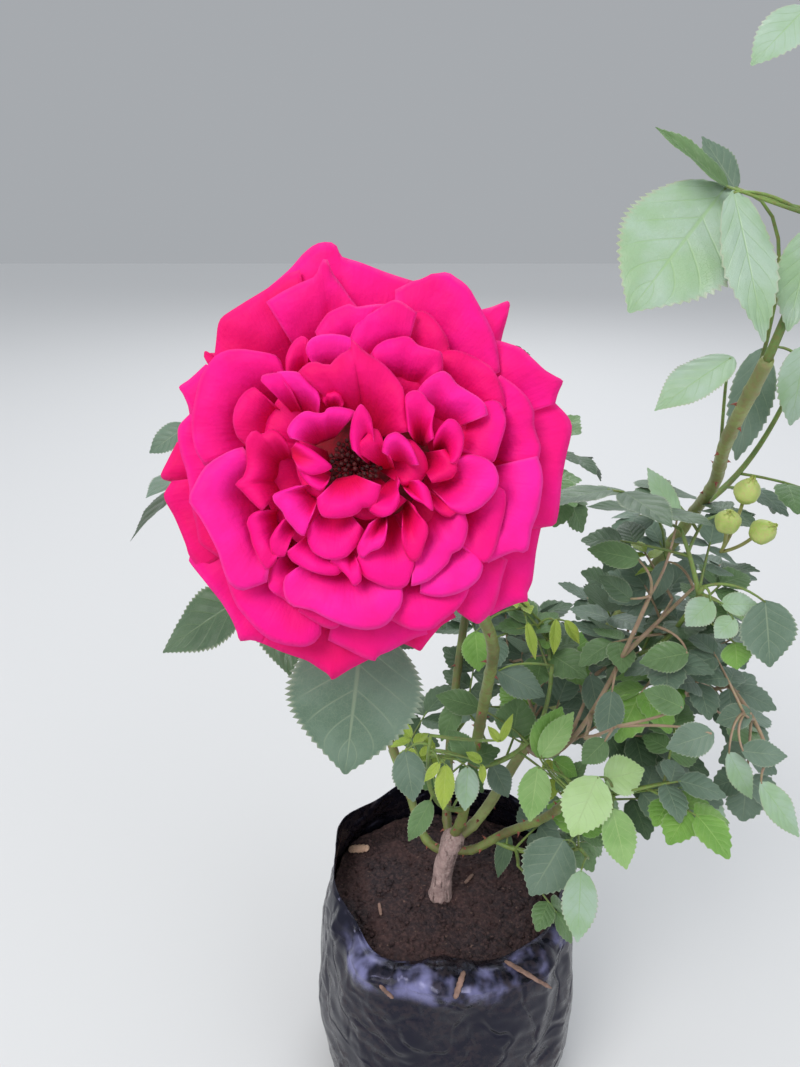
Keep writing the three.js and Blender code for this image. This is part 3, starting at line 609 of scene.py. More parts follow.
class Finishes:
    """Every material of the bush, made once."""

    def __init__(self) -> None:
        """Builds the shared groups and all finishes."""
        self.veins = vein_group()
        self.mottle = mottle_group()
        self.leaves = [self.leaf(tone.value) for tone in Tone]
        self.petals = [self.petal(finish) for finish in PETAL_FINISHES]
        self.film = self.film_finish()
        self.soil = self.soil_finish()
        self.bark = self.bark_finish()
        self.skins = {key: self.skin(finish) for key, finish in SKIN_FINISHES.items()}

    @staticmethod
    def start(name: str) -> tuple[Material, Nodes, Node]:
        """A new material.

        Args:
            name: Its name.

        Returns:
            The material, what adds nodes to it, and its shader.
        """
        material = bpy.data.materials.new(name)
        material.use_nodes = True
        tree = material.node_tree
        return material, Nodes(tree), tree.nodes["Principled BSDF"]

    def spots(self, n: Nodes, scale: float) -> tuple[Socket, Socket, Socket]:
        """Blotches and specks.

        Args:
            n: What adds nodes to the material.
            scale: Their scale, in spots a metre.

        Returns:
            The place, the blotches and the specks.
        """
        place = n.add("ShaderNodeTexCoord").outputs["Object"]
        group = n.add("ShaderNodeGroup", node_tree=self.mottle)
        n.feed(group, {"Place": place, "Scale": scale})
        return place, group.outputs["Blotch"], group.outputs["Speck"]

    def leaf(self, finish: LeafFinish) -> Material:
        """A waxy leaf with sunken veins and a paler underside.

        Args:
            finish: Its colours.

        Returns:
            The material.
        """
        material, n, shader = self.start(finish.name)
        flat = n.add("ShaderNodeUVMap", uv_map="flat").outputs[0]
        group = n.add("ShaderNodeGroup", node_tree=self.veins)
        n.feed(group, {"Flat": flat, "Pairs": SIDE_VEINS, "Width": 0.04})
        _, blotch, speck = self.spots(n, 55.0)
        rim = n.ease(n.from_middle(n.parts(flat)[0]), 0.9, 1.0)
        body = n.blend(n.times(blotch, 0.75), finish.upper, finish.deep)
        body = n.tint(body, group.outputs["Vein"], 0.55, finish.vein)
        body = n.tint(body, speck, 0.12, finish.under)
        body = n.tint(body, rim, 0.28, finish.rim)
        back = n.add("ShaderNodeNewGeometry").outputs["Backfacing"]
        n.feed(shader, {
            "Base Color": n.blend(back, body, finish.under),
            "Roughness": n.line(blotch, 0.14, finish.roughness),
            "Normal": n.bump(group.outputs["Height"], 0.0008, 0.4),
            "Sheen Weight": 0.1,
            "Sheen Roughness": 0.35,
            "Sheen Tint": (0.85, 0.93, 1.0, 1.0),
        })
        return material

    def petal(self, finish: PetalFinish) -> Material:
        """A velvety petal: crimson at its root, partly its own colour and partly painted shade, magenta
        above, with a thin pale rim.

        Args:
            finish: Its colours.

        Returns:
            The material.
        """
        material, n, shader = self.start(finish.name)
        flat = n.add("ShaderNodeUVMap", uv_map="flat").outputs[0]
        parts = n.parts(flat)
        streak = n.grain(flat, 7.0, 3, (5.0, 0.5, 1))
        _, blotch, speck = self.spots(n, 70.0)
        # crimson towards the root: the petal's own colour, deepened there with painted shade
        body = n.blend(n.ease(n.line(streak, 0.25, parts[1]), 0.2, 0.85), finish.root, finish.upper)
        body = n.tint(body, blotch, 0.3, finish.root)
        edge, end = n.ease(n.from_middle(parts[0]), 0.94, 1.0), n.ease(parts[1], 0.95, 1.0)
        body = n.tint(body, n.math("MAXIMUM", edge, end), 0.2, finish.rim)
        n.feed(shader, {
            "Base Color": body,
            "Roughness": 0.6,
            "Normal": n.bump(n.line(streak, 0.5, n.times(speck, 0.15)), 0.0008, 0.4),
            "Specular IOR Level": 0.14,
            "Sheen Weight": 0.06,
            "Sheen Roughness": 0.4,
            "Sheen Tint": (1.0, 0.2, 0.6, 1.0),
        })
        return material

    def film_finish(self) -> Material:
        """Thin black film: glossy, finely wrinkled, dusted with soil, with a painted blue-violet highlight on
        the front fold.

        Returns:
            The material.
        """
        material, n, shader = self.start("black_film")
        place, blotch, speck = self.spots(n, 28.0)
        parts = n.parts(place)
        dust = n.times(n.times(blotch, speck), 0.35)
        # the front fold, and patches on it whose colour carries a painted blue-violet highlight
        folded = n.times(n.ease(parts[2], 0.142, 0.152), n.ease(parts[1], -0.03, -0.06))
        painted_highlight = n.times(n.ease(n.grain(place, 42.0, 3, (1, 1, 0.8)), 0.46, 0.64), folded)
        body = n.blend(dust, (0.005, 0.005, 0.009), (0.06, 0.04, 0.036))
        crease = n.ease(n.from_middle(n.grain(place, 34.0, 1)), 0.0, 0.12)
        height = n.line(crease, 0.12, n.grain(place, 16.0, 0.5, (1, 1, 0.6)))
        n.feed(shader, {
            "Base Color": n.tint(body, painted_highlight, 0.75, (0.24, 0.24, 0.46)),
            "Roughness": n.line(dust, 0.9, 0.22),
            "Normal": n.bump(height, 0.012, 0.7),
            "Specular IOR Level": 0.34,
            "Specular Tint": (0.65, 0.65, 1.0, 1.0),
            "Coat Weight": 0.1,
            "Coat Roughness": 0.1,
        })
        return material

    def soil_finish(self) -> Material:
        """Dark damp soil with rusty and pale flecks.

        Returns:
            The material.
        """
        material, n, shader = self.start("potting_soil")
        place, blotch, speck = self.spots(n, 45.0)
        fleck = n.ease(n.grain(place, 420.0, 2), 0.66, 0.74)
        body = n.blend(blotch, (0.042, 0.02, 0.02), (0.018, 0.009, 0.012))
        body = n.tint(body, speck, 0.5, (0.1, 0.052, 0.048))
        n.feed(shader, {
            "Base Color": n.tint(body, fleck, 0.6, (0.2, 0.12, 0.09)),
            "Roughness": n.line(blotch, -0.15, 0.95),
            "Normal": n.bump(n.grain(place, 300.0, 8), 0.003, 0.9),
        })
        return material

    def bark_finish(self) -> Material:
        """Grey-pink bark, cracked lengthwise, with pale lichen-like flecks.

        Returns:
            The material.
        """
        material, n, shader = self.start("stub_bark")
        place, blotch, speck = self.spots(n, 70.0)
        crack = n.grain(place, 260.0, 6, (1, 1, 0.22))
        body = n.blend(blotch, (0.44, 0.3, 0.28), (0.27, 0.18, 0.17))
        body = n.blend(n.ease(crack, 0.47, 0.34), body, (0.1, 0.06, 0.055))
        n.feed(shader, {
            "Base Color": n.tint(body, speck, 0.45, (0.58, 0.45, 0.41)),
            "Roughness": n.line(crack, 0.1, 0.8),
            "Normal": n.bump(crack, 0.0018, 0.9),
        })
        return material

    def skin(self, finish: SkinFinish) -> Material:
        """A mottled skin from its two colours and specks.

        Args:
            finish: Its colours, scale and relief.

        Returns:
            The material.
        """
        material, n, shader = self.start(finish.name)
        place, blotch, speck = self.spots(n, finish.scale)
        body = n.blend(blotch, finish.light, finish.deep)
        fibre = n.grain(place, finish.scale * 5, 4, finish.stretch)
        n.feed(shader, {
            "Base Color": n.tint(body, speck, 0.4, finish.speck),
            "Roughness": n.line(speck, 0.15, finish.roughness),
            "Normal": n.bump(fibre, finish.relief, 0.7),
        })
        return material


# Limbs: sizes and places as in the part's source


@dataclass(frozen=True)
class Limb:
    """A tapering limb: its path, its radii, what carries it, where, and which way it leaves."""

    path: tuple[Triple, ...]
    radii: Pair
    on: str = ""
    at: float = 1.0
    leave: Triple = (0, 0, 1)


SOIL_TOP = 145.0
LIMBS: dict[str, Limb] = {
    "trunk": Limb(((-5, -1, 145.3), (-2.5, 0, 172), (4, 0, 201)), (6.6, 6.6)),
    "bloom_cane_lower": Limb(
        ((10, -14, 250), (13, -29, 307), (14, -50, 353)), (3.5, 3.1), "trunk", 0.96, (0.2, -0.3, 0.93)
    ),
    "bloom_cane_upper": Limb(
        ((11, -82, 400), (-6, -112, 448), (-28, -135, 492), (-42, -154, 514.5), (-43.5, -163, 519),
         (-43.6, -171.3, 521.9)),
        (3.1, 2.7), "bloom_cane_lower", 0.99, (0.02, -0.42, 0.9),
    ),
    "tall_cane_lower": Limb(
        ((50, 14, 262), (96, 16, 350), (129, 6, 424)), (3.7, 3.3), "trunk", 0.88, (0.8, 0.25, 0.55)
    ),
    "tall_cane_upper": Limb(
        ((124, -34, 463), (110, -73, 497), (103, -113, 541)), (3.3, 2.8), "tall_cane_lower", 0.99,
        (0.1, -0.5, 0.86),
    ),
    "right_cane": Limb(
        ((34, -15, 214), (52, -36, 246), (60, -62, 283)), (3.0, 2.5), "trunk", 0.74, (0.85, -0.4, 0.35)
    ),
    "back_cane": Limb(
        ((2, 40, 246), (12, 74, 322), (26, 96, 396)), (3.3, 2.6), "trunk", 0.8, (-0.1, 0.85, 0.5)
    ),
    "left_cane": Limb(
        ((-30, 18, 232), (-52, 30, 294), (-62, 34, 352)), (3.1, 2.5), "trunk", 0.66, (-0.85, 0.3, 0.45)
    ),
}


@dataclass
class Skeleton:
    """The bush's limbs as smooth curves through their named points."""

    flare: float = 3.2
    flare_fade: float = 7.0
    swelling: float = 1.2
    swelling_at: float = 0.85
    swelling_width: float = 0.14

    def __post_init__(self) -> None:
        """Works out every limb's curve, each after the one that carries it."""
        self.knots: dict[str, Array] = {}
        for name, limb in LIMBS.items():
            points = [np.array(p, float) for p in limb.path]
            if limb.on:
                root = self.point(limb.on, limb.at)
                reach = self.radius(limb.on, limb.at) + 3 * limb.radii[0]
                points = [root, root + unit(np.array(limb.leave)) * reach, *points]
            self.knots[name] = np.array(points)

    def point(self, name: str, t: float) -> Array:
        """The point at share t of a limb's centripetal Catmull-Rom curve.

        Args:
            name: The limb.
            t: The share, by knots.

        Returns:
            The point, in millimetres.
        """
        knots = self.knots[name]
        last = len(knots) - 1
        k = min(int(last * t), last - 1)
        w = last * t - k
        before = knots[k - 1] if k else 2 * knots[0] - knots[1]
        after = knots[k + 2] if k + 2 <= last else 2 * knots[last] - knots[last - 1]
        a, b = knots[k], knots[k + 1]
        d0, d1, d2 = (
            max(np.linalg.norm(q - p) ** 0.5, 1e-4) for p, q in ((before, a), (a, b), (b, after))
        )
        slope_a = ((a - before) / d0 - (b - before) / (d0 + d1) + (b - a) / d1) * d1
        slope_b = ((b - a) / d1 - (after - a) / (d1 + d2) + (after - b) / d2) * d1
        cubic = 2 * a - 2 * b + slope_a + slope_b
        curved = -3 * a + 3 * b - 2 * slope_a - slope_b
        return a + slope_a * w + curved * w**2 + cubic * w**3

    def points(self, name: str, shares: Iterable[float]) -> Array:
        """Rows of a limb's points at shares."""
        return np.array([self.point(name, t) for t in shares])

    def along(self, name: str, t: float) -> Array:
        """A limb's direction at share t."""
        return unit(self.point(name, min(1, t + NUDGE)) - self.point(name, max(0, t - NUDGE)))

    def radius(self, name: str, t: float) -> float:
        """A limb's radius at share t, with the woody stub's flare and swelling.

        Args:
            name: The limb.
            t: The share.

        Returns:
            The radius.
        """
        taper = mix(*LIMBS[name].radii, t)
        if name != "trunk":
            return taper
        swelling = self.swelling * math.exp(-(((t - self.swelling_at) / self.swelling_width) ** 2))
        return taper + self.flare * math.exp(-t * self.flare_fade) + swelling

    def radii(self, name: str, shares: Iterable[float]) -> Array:
        """A limb's radii at shares."""
        return np.array([self.radius(name, t) for t in shares])

    def seat(self, on: str, at: float) -> Array:
        """Where a stem springs from the middle of a limb."""
        return self.point(on, min(at, 0.995))


# Leaves


@dataclass(frozen=True)
class Leaflet:
    """One blade: its root, where it points and faces, its sizes, and how it droops and folds."""

    base: Array
    along: Array
    faces: Array
    length: float
    width: float
    droop: float
    fold: float
    phase: float


@dataclass
class Leaf:
    """A compound leaf: its stalk and its leaflets."""

    stalk: Arc
    leaflets: list[Leaflet]
    tone: Tone


@dataclass(frozen=True)
class Habit:
    """How a leaf's blades fold and droop, and how large its side leaflets are."""

    fold: float = 0.22
    sag: Pair = (0.06, 0.24)
    sides: float = 1.0


@dataclass(frozen=True)
class LeafForm:
    """Proportions of a compound leaf. Lengths are shares of its last leaflet's length."""

    smaller: float = 0.76
    stalk_radii: Pair = (0.8625, 0.525)
    stalk_to_bend: float = 0.85
    bend_to_end: float = 0.7
    droop: float = 0.3
    tip_droop: Pair = (0.15, 0.6)
    widths: Pair = (0.68, 0.86)
    spread: Pair = (58, 74)
    pairs_at: tuple[tuple[float, ...], ...] = ((), (0.8,), (0.86, 0.5), (0.93, 0.66, 0.4))
    pair_sizes: Triple = (0.92, 0.78, 0.6)
    side_sink: Pair = (0.05, 0.3)
    side_lean: Pair = (-0.2, 0.1)
    seats: Pair = (1.5, 1.3)
    fold_range: Pair = (0.5, 1.5)
    open_out: Pair = (0.86, 0.3)
    size_range: Pair = (0.8, 1.12)
    face_tilts: tuple[Pair, Pair] = ((-0.3, 0.3), (-0.55, 0.1))

    def compound(
        self,
        arc: Arc,
        tip: Array,
        faces: Array,
        leaflet: float,
        width: float,
        pairs: int,
        chance: Chance,
        tone: Tone,
        habit: Habit,
    ) -> Leaf:
        """A leaf on its stalk, by the source's rule.

        Args:
            arc: The stalk's line.
            tip: Where the last leaflet points to.
            faces: The way the upper side looks.
            leaflet: The last leaflet's length.
            width: Width of a leaflet as a share of its length.
            pairs: How many pairs of side leaflets it bears.
            chance: The random numbers.
            tone: The colour that the leaf is dealt.
            habit: Its folds, its droop and its side leaflets' size.

        Returns:
            The leaf.
        """
        last = unit(tip - arc.end)
        rows = [(arc.end - last * self.seats[0], last, faces, leaflet)]
        for place, size in zip(self.pairs_at[pairs], self.pair_sizes):
            along = arc.along(place)
            side = unit(np.cross(faces, along))
            for hand in (1, -1):
                spread = math.radians(chance.between(*self.spread))
                sink = faces * chance.between(*self.side_sink)
                out = unit(along * math.cos(spread) + side * hand * math.sin(spread) - sink)
                lean = faces + side * hand * chance.between(*self.side_lean)
                base = arc.at(place) + along * hand * self.seats[1]
                rows.append((base, out, lean, leaflet * size * habit.sides))
        leaflets = [
            Leaflet(
                base, out, square_to(lean, out), length, length * width,
                chance.between(*habit.sag), habit.fold * chance.between(*self.fold_range),
                chance.between(0, 6),
            )
            for base, out, lean, length in rows
        ]
        return Leaf(arc, leaflets, tone)


class Blade:
    """The serrated egg-shaped blade of a rose leaflet, shaped from a grid."""

    TOOTH, NOTCH, HOOK = 0.055, -0.035, 0.6
    NARROWEST, CURL = 0.02, 0.35
    QUILT, RIPPLE = 0.0035, 0.02
    PROBES = ((0.15, 0.6), (0.35, 0.95), (0.6, 0.9), (0.8, 0.55), (1, 0))

    def __init__(self, across: int, teeth: int) -> None:
        """Shapes the blade's outline.

        Args:
            across: Faces across.
            teeth: Teeth on each side.
        """
        self.grid = Grid(across, 2 * teeth)
        self.u, v = self.grid.u, self.grid.v
        rim = np.abs(self.u) > 0.999
        toothed = np.rint(v * self.grid.rows).astype(int) % 2 == 1
        x = v**0.82
        egg = np.maximum(np.sin(np.pi * np.minimum(x, 1)), 0) ** (0.62 + 0.4 * x)
        bite = np.where(toothed, self.TOOTH, self.NOTCH) * np.sin(np.pi * v) ** 0.4
        self.half = np.maximum(egg * (1 + np.where(rim, bite, 0)), self.NARROWEST)
        self.v = np.minimum(v + np.where(rim & toothed, self.HOOK / self.grid.rows, 0), 1)

    def shapes(self, leaflets: Sequence[Leaflet], dealt: Sequence[int]) -> Shape:
        """All the leaflets as one joined shape.

        Args:
            leaflets: The leaflets.
            dealt: The finish that each one takes.

        Returns:
            The joined blades.
        """
        base, along, faces, length, width, droop, fold, phase = (
            np.array([getattr(leaf, item.name) for leaf in leaflets])[:, None]
            for item in fields(Leaflet)
        )
        u, v = self.u, self.v
        side = u * self.half * width / 2
        veins = np.cos((v * SIDE_VEINS - np.abs(u) * VEIN_SLANT) * 2 * np.pi)
        quilt = veins * self.QUILT * np.sin(np.pi * v)
        ripple = self.RIPPLE * np.sin(v * 9 + u * 2 + phase) * u**2 * np.sin(np.pi * v)
        height = (
            np.abs(side) * fold * (1 - 0.5 * u**2)
            - length * droop * v**2
            + length * (ripple + quilt * np.minimum(1, np.abs(u) * 3))
        )
        reach = length * (v - self.CURL * droop**2 * v**3)
        points = (
            base
            + along * reach[..., None]
            + np.cross(along, faces) * side[..., None]
            + faces * height[..., None]
        )
        firsts = np.arange(len(leaflets)) * len(u)
        quads = self.grid.faces[None] + firsts[:, None, None]
        flat = np.tile(np.stack([u / 2 + 0.5, v], 1), (len(leaflets), 1))
        each = np.repeat(np.array(dealt), len(self.grid.faces)).tolist()
        return Shape(points.reshape(-1, 3), quads.reshape(-1, 4).tolist(), flat, each)

    @classmethod
    def samples(cls, leaf: Leaf) -> Array:
        """Points spread over a leaf's blades, to test for room.

        Args:
            leaf: The leaf.

        Returns:
            Rows of points.
        """
        rows = []
        for blade in leaf.leaflets:
            side = np.cross(blade.along, blade.faces)
            for share, half in cls.PROBES:
                middle = blade.base + blade.along * blade.length * share
                middle = middle - blade.faces * blade.length * blade.droop * share**2
                for hand in (-0.9, -0.4, 0.4, 0.9) if half else (0,):
                    rows.append(middle + side * hand * half * blade.width / 2)
        return np.array(rows)


# Masses of foliage


@dataclass(frozen=True)
class Mass:
    """A mass of foliage: its stem's seat, where it grows to, its space and what it bears."""

    on: str
    at: float
    leave: Triple
    reach: Triple
    space: Triple
    seed: int
    leaves: int
    twigs: int
    twig_leaves: int
    leaflet: float
    tones: tuple[float, ...]


MASSES: dict[str, Mass] = {
    "foliage_top": Mass(
        "tall_cane_upper", 1.0, (0.3, 0.1, 0.95), (128, -90, 622), (100, 90, 96),
        13, 6, 1, 2, 46, (0.1, 0.25, 0.6, 0.7, 0.96),
    ),
    "foliage_right_upper": Mass(
        "tall_cane_upper", 0.3, (0.85, 0.3, 0.4), (166, -14, 520), (92, 86, 88),
        23, 7, 3, 4, 38, (0.2, 0.35, 0.7, 0.8, 0.98),
    ),
    "bud_cluster": Mass(
        "tall_cane_lower", 0.72, (0.25, -0.95, 0.1), (114, -78, 446), (70, 64, 74),
        31, 6, 2, 3, 33, (0.25, 0.45, 0.75, 0.85, 0.96),
    ),
    "foliage_far_right": Mass(
        "tall_cane_lower", 0.62, (0.95, -0.25, -0.1), (158, -58, 366), (88, 92, 86),
        47, 8, 4, 4, 38, (0.14, 0.55, 0.83, 0.93, 0.99),
    ),
    "foliage_right_middle": Mass(
        "tall_cane_lower", 0.5, (0.1, -0.95, 0.3), (88, -68, 418), (88, 80, 84),
        59, 9, 4, 4, 36, (0.16, 0.56, 0.84, 0.94, 0.99),
    ),
    "foliage_middle": Mass(
        "bloom_cane_lower", 0.6, (0.95, -0.1, 0.2), (48, -46, 372), (78, 72, 78),
        53, 8, 4, 4, 33, (0.16, 0.48, 0.76, 0.88, 0.93),
    ),
    "foliage_right_front": Mass(
        "right_cane", 1.0, (0.25, -0.6, 0.75), (76, -92, 316), (80, 78, 76),
        67, 8, 4, 4, 35, (0.14, 0.45, 0.75, 0.88, 0.98),
    ),
    "foliage_right_low": Mass(
        "right_cane", 0.42, (0.85, -0.35, -0.3), (88, -40, 232), (76, 72, 62),
        71, 6, 2, 3, 35, (0.2, 0.62, 0.88, 0.96, 1),
    ),
    "foliage_low_centre": Mass(
        "bloom_cane_lower", 0.36, (-0.65, -0.6, 0.45), (-16, -52, 322), (64, 60, 64),
        85, 6, 2, 3, 29, (0.3, 0.4, 0.6, 0.75, 0.82),
    ),
    "foliage_back": Mass(
        "back_cane", 1.0, (-0.1, 0.3, 0.95), (12, 112, 442), (92, 84, 90),
        97, 8, 4, 4, 37, (0.35, 0.5, 0.8, 0.88, 0.98),
    ),
    "foliage_back_low": Mass(
        "back_cane", 0.5, (0.5, 0.85, 0.1), (66, 98, 300), (88, 80, 82),
        103, 7, 3, 4, 37, (0.4, 0.6, 0.85, 0.9, 1),
    ),
    "foliage_left": Mass(
        "left_cane", 1.0, (-0.1, 0.2, 0.95), (-66, 52, 408), (84, 80, 82),
        113, 7, 3, 4, 36, (0.35, 0.5, 0.8, 0.88, 0.98),
    ),
    "foliage_left_low": Mass(
        "left_cane", 0.45, (-0.4, 0.9, 0.1), (-58, 74, 292), (80, 76, 72),
        131, 6, 2, 4, 36, (0.4, 0.6, 0.85, 0.9, 1),
    ),
}


@dataclass(frozen=True)
class SingleLeaf:
    """A leaf that shows by itself: its seat, its stalk, where it points and faces."""

    on: str
    at: float
    bend: Triple
    end: Triple
    tip: Triple
    faces: Triple
    leaflet: float
    width: float
    pairs: int
    tone: Tone
    habit: Habit = Habit(0.2, (0.05, 0.15))


SINGLE_LEAVES: dict[str, SingleLeaf] = {
    "leaf_under_bloom": SingleLeaf(
        "bloom_cane_upper", 0.6, (-36, -160, 482), (-45, -188, 470), (-51, -203, 424),
        (0.05, -0.95, 0.3), 50, 0.86, 1, Tone.GREY, Habit(0.1, (0.0, 0.03), 0.45),
    ),
    "leaf_left_lower": SingleLeaf(
        "bloom_cane_upper", 0.68, (-62, -140, 482), (-86, -152, 465), (-124, -163, 446),
        (-0.15, -0.45, 0.85), 42, 0.6, 1, Tone.DARK,
    ),
    "leaf_left_upper": SingleLeaf(
        "bloom_cane_upper", 0.8, (-78, -128, 520), (-108, -134, 505), (-137, -146, 480),
        (0.1, 0.35, 0.9), 36, 0.62, 2, Tone.GREY,
    ),
    # its dark tone is painted shade: its upturned face catches the light
    "leaf_right_of_bloom": SingleLeaf(
        "tall_cane_lower", 0.93, (92, -62, 468), (58, -82, 478), (24, -97, 478),
        (0.0, 0.1, 1.0), 42, 0.5, 2, Tone.DARK,
    ),
    "leaf_top_front": SingleLeaf(
        "tall_cane_upper", 0.93, (122, -86, 600), (84.5, -94, 599), (47.5, -118, 558),
        (-0.1, -0.75, 0.65), 60, 0.77, 0, Tone.PALE, Habit(0.12, (0.0, 0.04)),
    ),
    "leaf_top_middle": SingleLeaf(
        "tall_cane_upper", 0.62, (98, -88, 536), (92, -106, 540), (62, -115, 524),
        (0.05, -0.3, 0.95), 36, 0.55, 0, Tone.PALE,
    ),
}


@dataclass(frozen=True)
class Viewpoint:
    """Where the photograph was taken from, and its frame in pixels."""

    place: Triple = (-33, -410, 603)
    pitch: float = 24.0
    focal: float = 801.0
    frame: tuple[int, int] = (800, 1067)

    @property
    def tilt(self) -> Pair:
        """Sine and cosine of the pitch."""
        return math.sin(math.radians(self.pitch)), math.cos(math.radians(self.pitch))

    def pixel(self, points: Array) -> Array:
        """Where points fall in the frame.

        Args:
            points: Rows of points.

        Returns:
            Rows of pixels.
        """
        s, c = self.tilt
        d = points - np.array(self.place)
        depth = d[:, 1] * c - d[:, 2] * s
        up = d[:, 1] * s + d[:, 2] * c
        x = self.frame[0] / 2 + self.focal * d[:, 0] / depth
        return np.stack([x, self.frame[1] / 2 - self.focal * up / depth], 1)

    def depth(self, points: Array) -> Array:
        """How far points lie in front of the camera."""
        s, c = self.tilt
        return (points - np.array(self.place)) @ np.array([0, c, -s])

    def rays(self, x: Values, y: Values) -> Array:
        """The way, or rows of ways, from the camera to pixels at depth one."""
        s, c = self.tilt
        right, up = x - self.frame[0] / 2, self.frame[1] / 2 - y
        return np.stack([right, self.focal * c + up * s, up * c - self.focal * s], -1) / self.focal

    def on_ray(self, x: float, y: float, depth: float) -> Array:
        """The point that shows at a pixel, at a depth."""
        return np.array(self.place) + self.rays(x, y) * depth


VIEW = Viewpoint()
# shares of a stem where the stalk of a leaflet that shows may spring
FOOT_SHARES = np.linspace(0.15, 1, 30)


@dataclass(frozen=True)
class ShownLeaflet:
    """A leaflet that shows clearly: the mass that bears it, and where its root and tip show."""

    mass: str
    root: Pair
    tip: Pair
    width: float
    tone: Tone
    nearer: float
    fold: float = 0.15
    tip_nearer: float = 0.0


# pixels of root and tip, width, tone, how much nearer than its stem, fold, its tip nearer still
SHOWN_LEAFLETS: list[ShownLeaflet] = [
    ShownLeaflet(mass, (x0, y0), (x1, y1), width, Tone[tone], nearer, *rest)
    for mass, rows in {
        "foliage_middle": (
            (475, 631, 479, 672, 31, "BRIGHT", 14, 0.25), (497, 670, 546, 696, 33, "GREY", 10, 0.1),
            (480, 708, 436, 695, 26, "MID", 8), (512, 738, 520, 697, 42, "MID", 4),
            (527, 622, 536, 660, 11, "YOUNG", 14, 0.7), (556, 619, 554, 655, 12, "YOUNG", 14, 0.7),
            (565, 620, 580, 644, 12, "YOUNG", 14, 0.7), (458, 700, 441, 742, 22, "MID", 8, 0.2),
        ),
        "foliage_low_centre": (
            (405, 750, 414, 803, 34, "GREY", 6), (446, 764, 443, 811, 20, "YOUNG", 10, 0.5),
            (468, 766, 465, 812, 25, "PALE", 10, 0.4), (474, 760, 449, 730, 24, "MID", 6),
            (440, 762, 424, 782, 10, "YOUNG", 12, 0.6), (482, 762, 466, 752, 10, "YOUNG", 12, 0.6),
            (482, 764, 483, 784, 8, "YOUNG", 12, 0.6), (500, 742, 488, 726, 9, "YOUNG", 12, 0.6),
            (500, 742, 513, 714, 9, "YOUNG", 12, 0.6), (492, 764, 509, 798, 25, "GREY", 4),
            (431, 800, 408, 842, 22, "MID", 6, 0.2),
        ),
        "foliage_right_front": (
            (538, 758, 562, 707, 36, "BRIGHT", 10, 0.2), (540, 757, 574, 712, 26, "FRESH", 14, 0.2),
            (538, 766, 530, 823, 33, "FRESH", 16, 0.2), (553, 760, 578, 776, 22, "BRIGHT", 6),
            (598, 776, 572, 838, 50, "LIT", 22, 0.06), (604, 780, 645, 769, 40, "LIT", 8, 0.1),
            (612, 808, 628, 871, 36, "FRESH", 8), (556, 790, 588, 760, 20, "MID", 2, 0.2),
        ),
        "foliage_right_low": (
            (564, 839, 530, 897, 54, "GREY", 10, 0.1), (581, 870, 578, 944, 36, "PALE", 14, 0.12, 6),
            (508, 832, 498, 879, 17, "DARK", 0, 0.2),
        ),
        "foliage_right_middle": (
            (678, 521, 649, 467, 26, "PALE", 20), (689, 653, 640, 662, 32, "MID", 16, 0.1),
            (590, 674, 600, 720, 26, "GREY", 16), (612, 690, 606, 744, 30, "GREY", 20),
            (606, 740, 582, 764, 26, "MID", 10), (684, 708, 644, 690, 30, "MID", 10),
            (714, 733, 667, 748, 34, "GREY", 12, 0.12), (640, 560, 588, 548, 30, "MID", 10),
            (632, 600, 600, 575, 24, "DARK", 6), (667, 560, 655, 600, 22, "GREY", 8, 0.2),
        ),
        "foliage_far_right": (
            (752, 712, 716, 722, 26, "GREY", 14), (741, 751, 789, 756, 27, "GREY", 14, 0.12),
            (728, 752, 754, 800, 26, "PALE", 14), (760, 782, 802, 838, 30, "PALE", 14),
        ),
        "bud_cluster": (
            (712, 600, 686, 626, 30, "PALE", 6, 0.1), (721, 604, 760, 604, 25, "PALE", 6, 0.1),
            (735, 618, 715, 638, 24, "PALE", 8, 0.1), (735, 642, 738, 670, 32, "BRIGHT", 8, 0.12),
            (765, 600, 772, 668, 58, "GREY", -4, 0.08),
        ),
        "foliage_right_upper": (
            (762, 348, 738, 460, 44, "GREY", -4), (806, 345, 792, 425, 44, "PALE", 6, 0.12),
        ),
        "foliage_top": (
            (728, 188, 658, 123, 22, "MID", 6, 0.9), (736, 190, 704, 134, 34, "GREY", -2),
            (733, 190, 769, 339, 54, "PALE", 6, 0.15, 8), (812, 228, 790, 330, 50, "PALE", 2),
            (808, 6, 752, 62, 46, "PALE", 4, 0.12),
        ),
        "bloom_cane_upper": (
            (187, 426, 148, 452, 30, "GREY", -42, 0.2),
        ),
    }.items()
    for x0, y0, x1, y1, width, tone, nearer, *rest in rows
]


